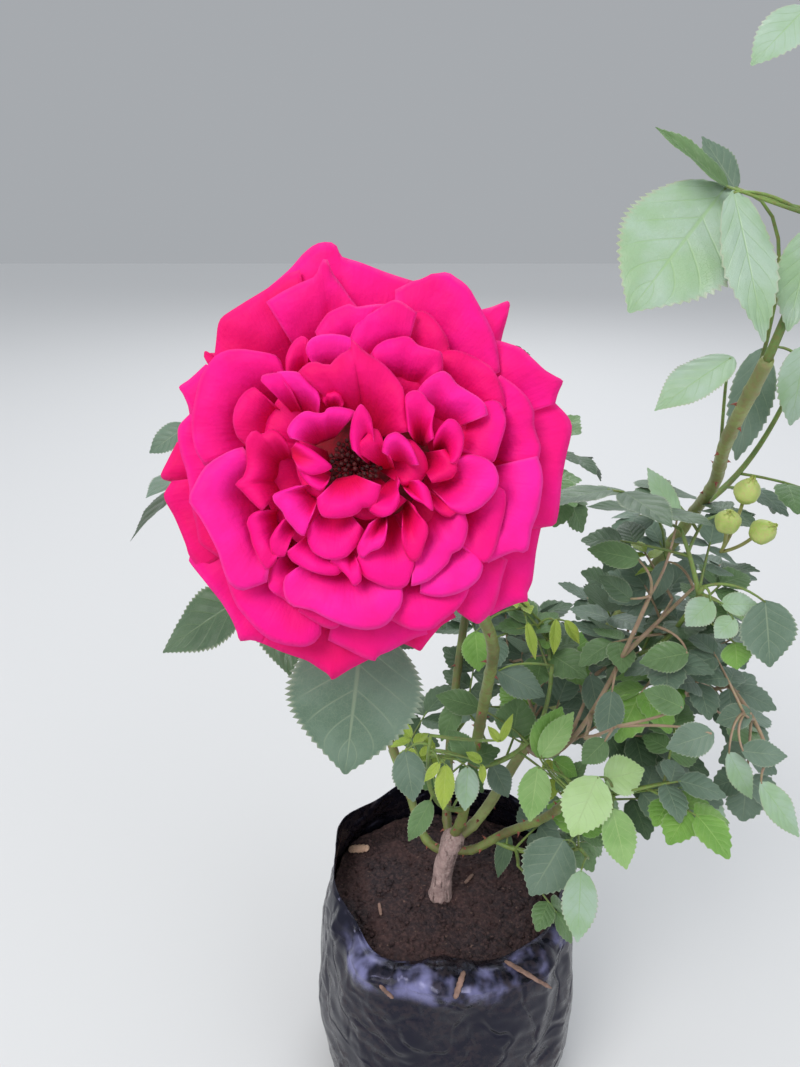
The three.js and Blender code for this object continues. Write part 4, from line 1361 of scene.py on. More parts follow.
@dataclass
class Room:
    """What already stands, in small cells, and the air that stays open in the photograph."""

    bloom: Array
    cell: float = 4.4
    patch: int = 8
    bloom_clearance: float = 60
    view_clearance: float = 2
    bloom_disc: Triple = (367, 460, 196)
    open_air: tuple[tuple[int, int, int, int], ...] = (
        (-999, -999, 400, 700), (-999, 690, 372, 800), (-999, -999, 560, 440),
        (560, -999, 640, 330), (640, -999, 800, 455), (-999, 815, 512, 1100),
        (-999, 950, 999, 1200), (612, 875, 999, 1200),
    )
    taken: set[tuple[int, int, int]] = field(default_factory=set)
    shown: dict[tuple[int, int], float] = field(default_factory=dict)

    def cells(self, points: Array) -> list[tuple[int, int, int]]:
        """The cells that points fall in."""
        return list(map(tuple, np.floor(points / self.cell).astype(int)))

    def patches(self, points: Array) -> list[tuple[int, int]]:
        """The small patches of the photograph that points fall in."""
        return list(map(tuple, np.floor(VIEW.pixel(points) / self.patch).astype(int)))

    def stand(self, points: Array, shows: bool = False) -> None:
        """Takes the cells of these points, and keeps the view of them open if they show.

        Args:
            points: Rows of points.
            shows: Whether they show.
        """
        self.taken.update(self.cells(points))
        if shows:
            for patch, depth in zip(self.patches(points), VIEW.depth(points)):
                self.shown[patch] = min(depth, self.shown.get(patch, depth))

    def free(self, points: Array, allowed: int) -> bool:
        """Whether a leaf is clear of the bloom, of what shows, and of most taken cells.

        Args:
            points: Rows of the leaf's points.
            allowed: How many of them may fall in taken cells.

        Returns:
            Whether there is room.
        """
        if (np.linalg.norm(points - self.bloom, axis=1) < self.bloom_clearance).any():
            return False
        for patch, depth in zip(self.patches(points), VIEW.depth(points)):
            if depth < self.shown.get(patch, -1) + self.view_clearance:
                return False
        return sum(cell in self.taken for cell in self.cells(points)) <= allowed

    def in_open_air(self, points: Array) -> bool:
        """Whether points show where the photograph shows only air.

        Args:
            points: Rows of points.

        Returns:
            Whether any of them does.
        """
        x, y = VIEW.pixel(points).T
        cx, cy, radius = self.bloom_disc
        behind = np.hypot(x - cx, y - cy) < radius
        return any(
            ((x > x0) & (x < x1) & (y > y0) & (y < y1) & ~behind).any()
            for x0, y0, x1, y1 in self.open_air
        )


@dataclass
class Stem:
    """A stem, twig or sprig: its line and radii, what it bears, and how far it is needed."""

    arc: Arc
    radii: Pair
    leaves: int
    lowest: float
    leaflet: float
    parent: "Stem | None" = None
    at: float = 0.0
    needed: float = 0.0

    def reach_to(self, share: float) -> None:
        """Keeps the stem, and all that carries it, up to a share of its length."""
        self.needed = max(self.needed, share)
        if self.parent:
            self.parent.reach_to(self.at)

    def shape(self, template: Round) -> Shape:
        """Its tapering tube, as far as it is needed."""
        shares = template.shares * self.needed
        return template.bent(self.arc.at(shares), np.interp(shares, (0, 1), self.radii))


@dataclass
class Foliage:
    """Twigs and leaves of every mass, and the leaves that show one by one."""

    finishes: Finishes
    skeleton: Skeleton
    room: Room
    form: LeafForm = LeafForm()
    tries: int = 7
    turns: int = 8
    crowding: int = 3
    stem_radii: Pair = (1.9, 1.0)
    stem_rise: float = 0.45
    stem_middle: float = 0.45
    twig_radii: Pair = (1.3, 0.75)
    twig_places: Pair = (0.25, 0.85)
    twig_length: float = 0.62
    twig_bow: float = 0.13
    twig_lift: float = 0.45
    twig_rise: float = 0.2
    retry_turn: float = 40
    sprig_radii: Pair = (0.9, 0.55)
    sprig_places: Pair = (0.45, 0.75)
    sprig_length: float = 0.3
    sprig_leaves: int = 3
    # lowest leaf on a stem, twig and sprig, and how much smaller a twig's and a sprig's leaves are
    lowest: Triple = (0.24, 0.4, 0.45)
    smaller: Pair = (0.95, 0.85)
    # the shares of a shown leaflet's length, and of its width, that no front twig crosses
    guarded: Triple = (0.15, 0.92, 0.36)
    shown_faces: Triple = (0.0, -0.7, 0.75)
    shown_droop: float = 0.06
    two_pairs: float = 0.7
    young_share: Pair = (0.75, 0.7)
    young_habit: Habit = Habit(fold=0.9)
    front_limbs: tuple[str, ...] = ("right_cane", "bloom_cane_lower")
    brown_twigs: tuple[str, ...] = ("foliage_right_middle", "foliage_far_right")

    def __post_init__(self) -> None:
        """Prepares the templates."""
        self.blade = Blade(4, 7)
        self.fine_blade = Blade(12, 26)
        self.shown_blade = Blade(8, 14)
        self.stalk = Round(5, 8)
        self.stem = Round(8, 14)

    def stem_of(self, mass: Mass) -> Arc:
        """A mass's main stem, by the source's rule.

        Args:
            mass: The mass.

        Returns:
            The stem's line.
        """
        start = self.skeleton.seat(mass.on, mass.at)
        end = np.array(mass.reach, float)
        length = np.linalg.norm(end - start)
        return Arc(start, start + unit(np.array(mass.leave)) * length * self.stem_rise, end)

    def leaf_on(
        self, stem: Arc, t: float, bearing: float, mass: Mass, size: float, chance: Chance
    ) -> Leaf:
        """A leaf growing from a stem.

        Args:
            stem: The stem.
            t: Share of the stem where the leaf springs.
            bearing: Its bearing round the stem, in degrees.
            mass: The mass that it belongs to.
            size: Length of its last leaflet.
            chance: The random numbers.

        Returns:
            The leaf.
        """
        form = self.form
        start, along = stem.at(t), stem.along(t)
        open_out = mix(*form.open_out, float(smooth(0.75, 1, t)))
        out = unit(around(along, bearing) * open_out + along * 0.5)
        size *= chance.between(*form.size_range) * form.smaller
        bend = start + out * size * form.stalk_to_bend
        end = bend + out * size * form.bend_to_end
        end[2] -= size * chance.between(0, form.droop)
        tip = end + out * size
        tip[2] -= size * chance.between(*form.tip_droop)
        faces = unit(np.array([*(chance.between(*span) for span in form.face_tilts), 1.0]))
        width = chance.between(*form.widths)
        draw = chance.between()
        tone = list(Tone)[sum(draw > limit for limit in mass.tones)]
        shorter, slimmer, habit = 1, 1, Habit()
        if tone is Tone.YOUNG:
            (shorter, slimmer), habit = self.young_share, self.young_habit
        pairs = 2 if chance.between() < self.two_pairs else 1
        arc = Arc(start, bend, end)
        return form.compound(
            arc, tip, faces, size * shorter, width * slimmer, pairs, chance, tone, habit
        )

    def twig_on(
        self, stem: Arc, t: float, bearing: float, length: float, forward: float = 0.0
    ) -> Arc:
        """A twig growing from a stem, turned up towards the light and bowed.

        Args:
            stem: The stem.
            t: Share of the stem where the twig springs.
            bearing: Its bearing round the stem, in degrees.
            length: Its length before it turns up.
            forward: How far it leans along the stem.

        Returns:
            The twig's line.
        """
        start, along = stem.at(t), unit(stem.end - stem.start)
        out = around(along, bearing) + along * forward
        out[2] += self.twig_lift
        end = start + unit(out) * length
        end[2] += self.twig_rise * length
        return Arc(start, (start + end) / 2 + along * length * self.twig_bow, end)

    def inside(self, mass: Mass, points: Array) -> bool:
        """Whether points keep to a mass's space and out of the open air.

        Args:
            mass: The mass.
            points: Rows of points.

        Returns:
            Whether all of them do.
        """
        main, share = self.stem_of(mass), self.stem_middle
        middle = main.start * share + main.end * (1 - share)
        far = np.linalg.norm((points - middle) / np.array(mass.space, float), axis=1)
        return bool((far < 1).all()) and not self.room.in_open_air(points)

    def hides(self, mass: Mass, line: Arc) -> bool:
        """Whether a twig of a front mass would cross a leaflet that shows clearly.

        Args:
            mass: The mass.
            line: The twig's line.

        Returns:
            Whether it would.
        """
        if mass.on not in self.front_limbs:
            return False
        seen = VIEW.pixel(line.points(14))
        low, high, half = self.guarded
        for spec in SHOWN_LEAFLETS:
            way = np.array(spec.tip) - np.array(spec.root)
            share = (seen - spec.root) @ way / (way @ way)
            off = np.abs((seen - spec.root) @ np.array([-way[1], way[0]])) / np.linalg.norm(way)
            if ((share > low) & (share < high) & (off < spec.width * half)).any():
                return True
        return False

    def stems_of(self, mass: Mass) -> list[Stem]:
        """A mass's main stem, twigs and finer sprigs, by the source's rule carried on.

        Args:
            mass: The mass's sizes.

        Returns:
            The stems, each after the one that carries it.
        """
        chance, width = Chance(mass.seed), min(mass.space)
        (low, twig_low, sprig_low), (less, least) = self.lowest, self.smaller
        main = Stem(self.stem_of(mass), self.stem_radii, mass.leaves, low, mass.leaflet)
        stems = [main]
        for k in range(mass.twigs):
            t = mix(*self.twig_places, k / max(1, mass.twigs - 1))
            turn = chance.between(0, 360) + k * GOLDEN_ANGLE
            line = self.twig_on(main.arc, t, turn, self.twig_length * width)
            if not self.inside(mass, line.points(8)):
                continue
            for _ in range(self.turns):
                if not self.hides(mass, line) and self.inside(mass, line.points(8)):
                    break
                turn += self.retry_turn
                line = self.twig_on(main.arc, t, turn, self.twig_length * width)
            else:
                continue
            size = mass.leaflet * less
            twig = Stem(line, self.twig_radii, mass.twig_leaves, twig_low, size, main, t)
            stems.append(twig)
            for j, place in enumerate(self.sprig_places):
                bearing, forward = turn + 90 + 150 * j, 0.5 + 0.4 * j
                line = self.twig_on(twig.arc, place, bearing, self.sprig_length * width, forward)
                if self.inside(mass, line.points(6)) and not self.hides(mass, line):
                    size = mass.leaflet * least
                    stems.append(
                        Stem(line, self.sprig_radii, self.sprig_leaves, sprig_low, size, twig, place)
                    )
        return stems

    def grow(self, mass: Mass, stems: Sequence[Stem]) -> list[Leaf]:
        """Grows one mass's leaves on its stems by the source's rule.

        Args:
            mass: The mass's sizes.
            stems: Its stems.

        Returns:
            Its leaves.
        """
        chance = Chance(mass.seed + 500)
        bearing = chance.between(0, 360)
        leaves: list[Leaf] = []
        for stem in stems:
            for k in range(stem.leaves):
                share = mix(stem.lowest, 0.99, k / max(1, stem.leaves - 1))
                for _ in range(self.tries):
                    bearing += GOLDEN_ANGLE
                    leaf = self.leaf_on(stem.arc, share, bearing, mass, stem.leaflet, chance)
                    points = np.concatenate([Blade.samples(leaf), leaf.stalk.points(5)])
                    if self.inside(mass, points) and self.room.free(points, self.crowding):
                        self.room.stand(points)
                        stem.reach_to(share)
                        leaves.append(leaf)
                        break
        return leaves

    def shown_leaf(self, spec: ShownLeaflet, stems: Sequence[Stem]) -> Leaf:
        """A leaflet where it shows, on a stalk from the nearest stem of its mass.

        Args:
            spec: The leaflet.
            stems: The mass's stems.

        Returns:
            A leaf of this one leaflet.
        """
        if spec.mass in LIMBS:
            spots = self.skeleton.points(spec.mass, np.linspace(0.3, 0.9, 30))
        else:
            spots = np.concatenate([stem.arc.at(FOOT_SHARES) for stem in stems])
        apart = np.linalg.norm(VIEW.pixel(spots) - np.array(spec.root), axis=1)
        depth = VIEW.depth(spots)[np.argmin(apart)] - spec.nearer
        root = VIEW.on_ray(*spec.root, depth)
        tip = VIEW.on_ray(*spec.tip, depth - spec.tip_nearer)
        along = unit(tip - root)
        length = float(np.linalg.norm(tip - root))
        faces = square_to(unit(np.array(self.shown_faces)), along)
        foot = spots[np.argmin(np.linalg.norm(spots - root, axis=1))]
        gap = float(np.linalg.norm(root - foot))
        bend = (foot + root) / 2 - along * min(6, length / 4, gap / 4) + [0, 0, min(2, gap / 8)]
        width = spec.width * depth / VIEW.focal
        droop, phase = self.shown_droop, spec.root[0]
        blade = Leaflet(root, along, faces, length, width, droop, spec.fold, phase)
        return Leaf(Arc(foot, bend, root + along), [blade], spec.tone)

    def blades(self, template: Blade, leaves: Sequence[Leaf]) -> Shape:
        """The leaves' blades, each in the finish that its leaf is dealt."""
        pairs = [(blade, leaf.tone.place) for leaf in leaves for blade in leaf.leaflets]
        return template.shapes(*zip(*pairs))

    def stalks(self, leaves: Sequence[Leaf]) -> list[Shape]:
        """The leaves' stalks."""
        radii = np.interp(self.stalk.shares, (0, 1), self.form.stalk_radii)
        return [self.stalk.bent(leaf.stalk.at(self.stalk.shares), radii) for leaf in leaves]

    def dress(
        self, names: Sequence[str], blades: Shape, tubes: Sequence[Shape], skin: str, node: str
    ) -> None:
        """Makes the pieces of some leaves and of what bears them.

        Args:
            names: The names of the two pieces.
            blades: The blades.
            tubes: Stems and stalks.
            skin: The finish of the stems and stalks.
            node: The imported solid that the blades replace, if any.
        """
        make_piece(names[0], blades, self.finishes.leaves, [node] if node else [])
        make_piece(names[1], Shape.join(tubes), [self.finishes.skins[skin]])

    def build(self) -> None:
        """Makes every mass's leaves and twigs, and the single leaves."""
        for name in LIMBS:
            self.room.stand(self.skeleton.points(name, np.linspace(0, 1, 80)))
        for name, spec in SINGLE_LEAVES.items():
            self.single(name, spec)
        grown = {name: self.stems_of(mass) for name, mass in MASSES.items()}
        shown: dict[str, list[Leaf]] = {name: [] for name in (*MASSES, *LIMBS)}
        for spec in SHOWN_LEAFLETS:
            stems = grown.get(spec.mass, [])
            leaf = self.shown_leaf(spec, stems)
            self.room.stand(Blade.samples(leaf), shows=True)
            for stem in stems:
                apart = np.linalg.norm(stem.arc.at(FOOT_SHARES) - leaf.stalk.start, axis=1)
                if apart.min() < NUDGE:
                    stem.reach_to(float(FOOT_SHARES[apart.argmin()]))
            shown[spec.mass].append(leaf)
        behind = shown["bloom_cane_upper"]
        names = ("leaf_behind_bloom", "leaf_behind_stalk")
        self.dress(names, self.blades(self.shown_blade, behind), self.stalks(behind), "stalk", "")
        for name, mass in MASSES.items():
            leaves = self.grow(mass, grown[name])
            blades = [self.blades(self.blade, leaves)]
            if shown[name]:
                blades.append(self.blades(self.shown_blade, shown[name]))
            tubes = [stem.shape(self.stem) for stem in grown[name] if stem.needed]
            tubes += self.stalks(leaves + shown[name])
            skin = "twig" if name in self.brown_twigs else "stalk"
            self.dress((name + "_leaves", name + "_twigs"), Shape.join(blades), tubes, skin, name)
            LOG.info("%s: %d leaves", name, len(leaves) + len(shown[name]))

    def single(self, name: str, spec: SingleLeaf) -> None:
        """Makes one of the leaves that are solids of their own.

        Args:
            name: The solid that it replaces.
            spec: Its sizes.
        """
        bend, end, tip = (np.array(point, float) for point in (spec.bend, spec.end, spec.tip))
        arc = Arc(self.skeleton.seat(spec.on, spec.at), bend, end)
        leaf = self.form.compound(
            arc, tip, unit(np.array(spec.faces, float)), spec.leaflet, spec.width, spec.pairs,
            Chance(5), spec.tone, spec.habit,
        )
        self.room.stand(Blade.samples(leaf), shows=True)
        blades = self.blades(self.fine_blade, [leaf])
        self.dress((name + "_blades", name + "_stalk"), blades, self.stalks([leaf]), "stalk", name)


# The bloom


@dataclass(frozen=True)
class Petal:
    """One petal: where its root and its rim show, how far out they stand, and its finish."""

    root: Pair
    root_out: float
    rim_out: float
    finish: int
    rim: Array

    def rim_at(self, shares: Array) -> Array:
        """Rows of the line through the rim's points, at shares of its length.

        Args:
            shares: The shares.

        Returns:
            Rows of pixels.
        """
        knots, gone = self.rim, lengths_along(self.rim)
        here = shares * gone[-1]
        k = np.clip(np.searchsorted(gone, here, side="right") - 1, 0, len(knots) - 2)
        w = ((here - gone[k]) / (gone[k + 1] - gone[k]))[:, None]
        ends = np.vstack([2 * knots[0] - knots[1], knots, 2 * knots[-1] - knots[-2]])
        a, b, c, d = (ends[k + i] for i in range(4))
        squares, cubes = 2 * a - 5 * b + 4 * c - d, 3 * b - a - 3 * c + d
        curved = b + ((c - a) * w + squares * w**2 + cubes * w**3) / 2
        return mix(b + (c - b) * w, curved, 0.6)


# pixel of the root, out of the root and of the rim, finish (0 darker with painted shade, 1 plain, 2 paler
# with painted light), then the rim's pixels
PETALS: tuple[tuple[int, ...], ...] = (
    (355, 415, -25, -9, 1, 268, 288, 280, 278, 291, 268, 303, 254, 314, 245, 323, 242, 334, 243, 339, 250,
     340, 256, 362, 263, 385, 272, 400, 277, 413, 281),
    (315, 420, -24, -7, 0, 214, 360, 216, 343, 218, 325, 222, 317, 234, 309, 250, 299, 268, 288, 288, 274,
     300, 270),
    (335, 395, -20, -3, 1, 266, 302, 282, 292, 300, 283, 314, 277, 319, 268, 322, 260, 327, 259, 330, 267,
     333, 274, 342, 286, 351, 299, 359, 309),
    (390, 440, -25, -11, 1, 480, 310, 492, 307, 502, 303, 508, 301, 510, 305, 507, 318, 503, 332, 500, 345),
    (405, 405, -20, -3, 1, 395, 290, 413, 281, 422, 279, 431, 274, 441, 273, 448, 272, 455, 277, 463, 282,
     470, 289, 475, 298, 480, 307, 487, 320, 494, 335, 498, 352, 500, 372),
    (410, 440, -23, -6, 1, 494, 340, 500, 341, 507, 343, 521, 348, 531, 357, 545, 370, 555, 376, 563, 381,
     558, 393, 555, 404),
    (415, 462, -24, -8, 1, 550, 398, 558, 406, 565, 413, 570, 420, 572, 428, 570, 440, 566, 456, 562, 478,
     560, 500, 558, 515, 555, 525, 545, 527, 534, 529),
    (402, 489, -24, -10, 1, 490, 616, 505, 608, 518, 603, 528, 601, 527, 594, 532, 582, 534, 568, 536, 552,
     539, 536, 541, 527),
    (405, 510, -19, -4, 1, 458, 612, 468, 619, 478, 624, 486, 618, 493, 610, 497, 600, 500, 588, 503, 575,
     508, 560),
    (378, 495, -24, -10, 0, 396, 641, 410, 646, 420, 651, 425, 645, 432, 636, 442, 625, 456, 617),
    (365, 520, -19, -4, 1, 328, 640, 340, 646, 352, 652, 364, 658, 375, 661, 378, 656, 390, 651, 403, 644,
     415, 638, 428, 634),
    (350, 505, -24, -8, 0, 262, 643, 280, 651, 291, 655, 308, 661, 320, 669, 328, 674, 332, 680, 339, 676,
     352, 668, 368, 660),
    (332, 495, -24, -9, 1, 190, 556, 189, 561, 198, 573, 210, 588, 222, 603, 232, 620, 237, 632, 240, 641,
     252, 640, 264, 644),
    (325, 475, -24, -9, 0, 172, 481, 164, 494, 166, 502, 174, 516, 180, 530, 186, 545, 189, 555, 200, 570),
    (320, 462, -25, -11, 0, 177, 442, 168, 460, 161, 474, 163, 479, 173, 482),
    (315, 455, -23, -6, 1, 190, 414, 181, 423, 178, 429, 178, 440, 181, 455, 186, 470, 189, 485, 190, 498),
    (318, 445, -24, -9, 1, 206, 364, 190, 379, 179, 387, 183, 394, 188, 405, 190, 416),
    (325, 430, -25, -11, 0, 216, 353, 210, 353, 205, 351, 204, 357, 208, 364),
    (290, 490, -17, -4, 0, 190, 495, 192, 508, 196, 524, 199, 542, 208, 550, 220, 558),
    (286, 425, -15, 0, 1, 284, 376, 282, 363, 275, 355, 262, 352, 242, 349, 228, 350, 216, 355, 207, 366,
     200, 378, 196, 395, 192, 415, 192, 435, 196, 452, 205, 466),
    (312, 535, -15, 0, 1, 226, 578, 232, 596, 238, 608, 248, 620, 258, 631, 270, 640, 285, 645, 303, 647,
     314, 643, 321, 634),
    (460, 440, -15, -1, 1, 500, 375, 515, 385, 528, 398, 534, 411, 534, 425, 538, 438, 541, 447, 539, 458,
     537, 470),
    (455, 485, -13, 1, 2, 537, 456, 541, 466, 543, 480, 541, 497, 538, 513, 532, 528, 530, 540, 528, 550,
     523, 553, 516, 551, 503, 556, 488, 563),
    (440, 415, -13, 1, 0, 441, 351, 455, 350, 468, 354, 480, 360, 491, 367, 499, 380, 503, 393, 506, 408),
    (405, 390, -13, 0, 0, 408, 312, 416, 311, 424, 311, 432, 316, 440, 326, 447, 338, 450, 352),
    (350, 385, -13, 1, 1, 315, 332, 321, 322, 328, 313, 338, 308, 349, 304, 357, 307, 370, 305, 383, 304,
     394, 306),
    (305, 400, -12, 2, 0, 286, 373, 286, 358, 290, 347, 296, 339, 303, 336, 309, 341, 307, 354),
    (305, 545, -12, 3, 1, 276, 560, 270, 567, 268, 578, 269, 588, 275, 594, 284, 599, 291, 606),
    (335, 550, -13, 2, 1, 298, 611, 312, 620, 322, 626, 331, 629, 338, 627, 343, 620),
    (405, 535, -13, 2, 1, 385, 618, 393, 621, 402, 626, 412, 630, 422, 631, 433, 629, 441, 622, 452, 614,
     460, 606, 466, 597, 469, 589),
    (445, 495, -12, 3, 1, 497, 486, 504, 490, 506, 497, 505, 510, 501, 527, 497, 543, 492, 556, 486, 563,
     474, 558, 462, 547),
    (430, 525, -10, 4, 2, 420, 593, 430, 596, 442, 597, 456, 594, 469, 588, 478, 580, 482, 572, 483, 565,
     478, 558, 466, 551),
    (388, 385, -11, 3, 1, 350, 338, 355, 326, 363, 318, 376, 310, 387, 303, 394, 300, 400, 301, 408, 306,
     417, 313),
    (335, 395, -9, 4, 2, 311, 360, 306, 352, 307, 344, 312, 338, 320, 335, 332, 334, 346, 336, 358, 342),
    (290, 430, -11, 4, 0, 246, 446, 237, 436, 233, 423, 234, 410, 239, 399, 246, 391, 254, 387, 259, 391,
     265, 396),
    (277, 500, -11, 6, 2, 243, 447, 232, 450, 222, 455, 212, 461, 204, 468, 198, 478, 192, 490, 188, 499,
     192, 507, 199, 516, 206, 528, 212, 540, 218, 552, 222, 566, 227, 580, 233, 587, 240, 591, 248, 589, 257,
     586, 267, 582),
    (287, 518, -7, 6, 1, 263, 510, 255, 512, 249, 517, 247, 524, 250, 533, 252, 543, 256, 553, 261, 563, 267,
     570, 275, 563),
    (345, 545, -9, 6, 2, 291, 572, 285, 577, 283, 586, 285, 597, 291, 606, 302, 608, 313, 611, 324, 617, 337,
     623, 352, 628, 366, 630, 380, 628, 390, 622, 394, 615, 400, 608, 403, 598, 402, 588),
    (440, 430, -8, 4, 1, 484, 402, 494, 400, 501, 404, 505, 414, 506, 424, 503, 436, 499, 448, 496, 458, 492,
     463, 478, 458, 462, 455),
    (432, 430, -6, 6, 2, 417, 391, 424, 382, 431, 376, 438, 372, 444, 371, 450, 375, 457, 384, 468, 391, 478,
     397, 485, 404, 488, 415),
    (398, 400, -9, 5, 1, 371, 354, 376, 346, 386, 340, 396, 338, 404, 336, 411, 338, 418, 345, 427, 348, 436,
     350, 442, 353, 443, 370),
    (425, 498, -7, 6, 2, 411, 586, 417, 585, 428, 581, 438, 573, 448, 563, 452, 554, 461, 549, 466, 538, 468,
     526, 465, 514),
    (298, 515, -3, 7, 1, 282, 521, 275, 530, 270, 540, 271, 551, 277, 557, 285, 556),
    (303, 420, -5, 8, 1, 261, 381, 262, 376, 267, 374, 274, 373, 280, 373, 286, 380),
    (312, 420, -4, 9, 2, 277, 372, 286, 371, 297, 372, 305, 377, 312, 384, 317, 390, 320, 399),
    (290, 475, -7, 8, 0, 262, 511, 250, 500, 242, 491, 235, 484, 243, 477, 247, 466, 246, 450, 246, 439, 252,
     431, 258, 431, 262, 435, 268, 430, 276, 430, 286, 440),
    (368, 433, -3, 9, 0, 298, 372, 305, 365, 313, 361, 322, 364, 330, 365, 337, 357, 344, 352, 351, 349, 351,
     338, 356, 343, 364, 351, 375, 358, 386, 366, 395, 376, 403, 388, 405, 400, 407, 415, 411, 431),
    (430, 480, -5, 8, 2, 457, 463, 464, 455, 475, 455, 487, 459, 495, 466, 499, 478, 497, 489, 490, 499, 480,
     508, 470, 513, 462, 514, 453, 511, 447, 503),
    (420, 485, -5, 7, 0, 430, 491, 430, 500, 434, 508, 442, 515, 450, 517, 458, 512),
    (422, 458, -4, 8, 0, 445, 449, 455, 462, 457, 470, 452, 478, 443, 481, 432, 483),
    (437, 455, -3, 9, 1, 433, 439, 440, 427, 448, 419, 455, 420, 461, 427, 464, 437, 463, 447, 460, 457, 454,
     464),
    (420, 445, -2, 10, 1, 408, 431, 406, 412, 405, 397, 409, 392, 416, 390, 423, 393, 428, 401, 435, 408,
     433, 417, 432, 427, 434, 438),
    (385, 515, -4, 7, 1, 356, 560, 360, 571, 366, 578, 378, 584, 388, 588, 400, 589, 408, 584, 411, 575, 414,
     565, 413, 552),
    (320, 535, -4, 7, 1, 286, 552, 292, 561, 302, 567, 313, 572, 325, 575, 337, 575, 344, 569),
    (345, 540, -3, 8, 1, 330, 562, 340, 569, 348, 577, 354, 586, 361, 581, 361, 570),
    (335, 505, -2, 9, 1, 307, 528, 308, 542, 313, 552, 323, 558, 335, 560, 346, 557, 353, 550, 360, 542, 364,
     530),
    (405, 503, -1, 9, 0, 402, 530, 402, 543, 405, 552, 410, 560, 415, 562, 420, 557, 424, 546, 428, 533, 427,
     524, 420, 517, 415, 507),
    (335, 415, -3, 7, 0, 321, 399, 324, 392, 330, 393, 335, 391, 341, 394, 344, 403),
    (380, 465, -3, 6, 0, 395, 440, 412, 440, 425, 455, 428, 470, 420, 482, 405, 487),
    (370, 480, -3, 6, 0, 345, 513, 365, 520, 390, 515, 407, 500),
    (330, 460, -3, 5, 0, 300, 440, 295, 455, 298, 475, 305, 490, 320, 500),
    (318, 490, 0, 11, 2, 296, 486, 281, 491, 273, 495, 274, 502, 282, 511, 286, 519, 291, 525, 298, 533, 304,
     536, 307, 526, 311, 518),
    (384, 516, 0, 10, 2, 369, 524, 362, 537, 357, 548, 359, 556, 363, 558, 370, 552, 380, 548, 385, 541, 387,
     528),
    (403, 483, 1, 11, 1, 407, 492, 414, 499, 424, 504, 433, 511, 431, 497, 427, 487, 419, 480),
    (392, 478, 1, 11, 1, 400, 482, 398, 490, 400, 499, 397, 507, 391, 514, 384, 517, 377, 516, 370, 512, 368,
     507),
    (346, 477, 6, 12, 1, 317, 498, 318, 508, 322, 516, 329, 518, 340, 518, 352, 516, 359, 512, 362, 508, 370,
     507, 376, 503, 379, 494, 381, 485),
    (326, 474, 4, 11, 1, 297, 467, 303, 478, 311, 486, 321, 491, 327, 484),
    (292, 453, 9, 12, 1, 297, 441, 312, 450, 324, 459, 332, 467, 325, 472, 312, 475, 300, 471),
    (325, 441, 1, 13, 2, 290, 438, 287, 431, 290, 424, 297, 416, 306, 411, 316, 413, 324, 413, 328, 408, 338,
     407, 349, 409, 357, 412),
    (372, 462, 1, 14, 1, 352, 449, 350, 436, 352, 420, 357, 408, 361, 404, 366, 409, 371, 418, 373, 430),
    (390, 470, 0, 12, 0, 353, 450, 358, 443, 364, 438, 372, 429, 378, 430, 382, 438, 383, 447, 390, 455),
    (402, 464, 2, 13, 2, 382, 452, 384, 441, 388, 435, 396, 432, 403, 436, 409, 442, 414, 452, 419, 465),
)


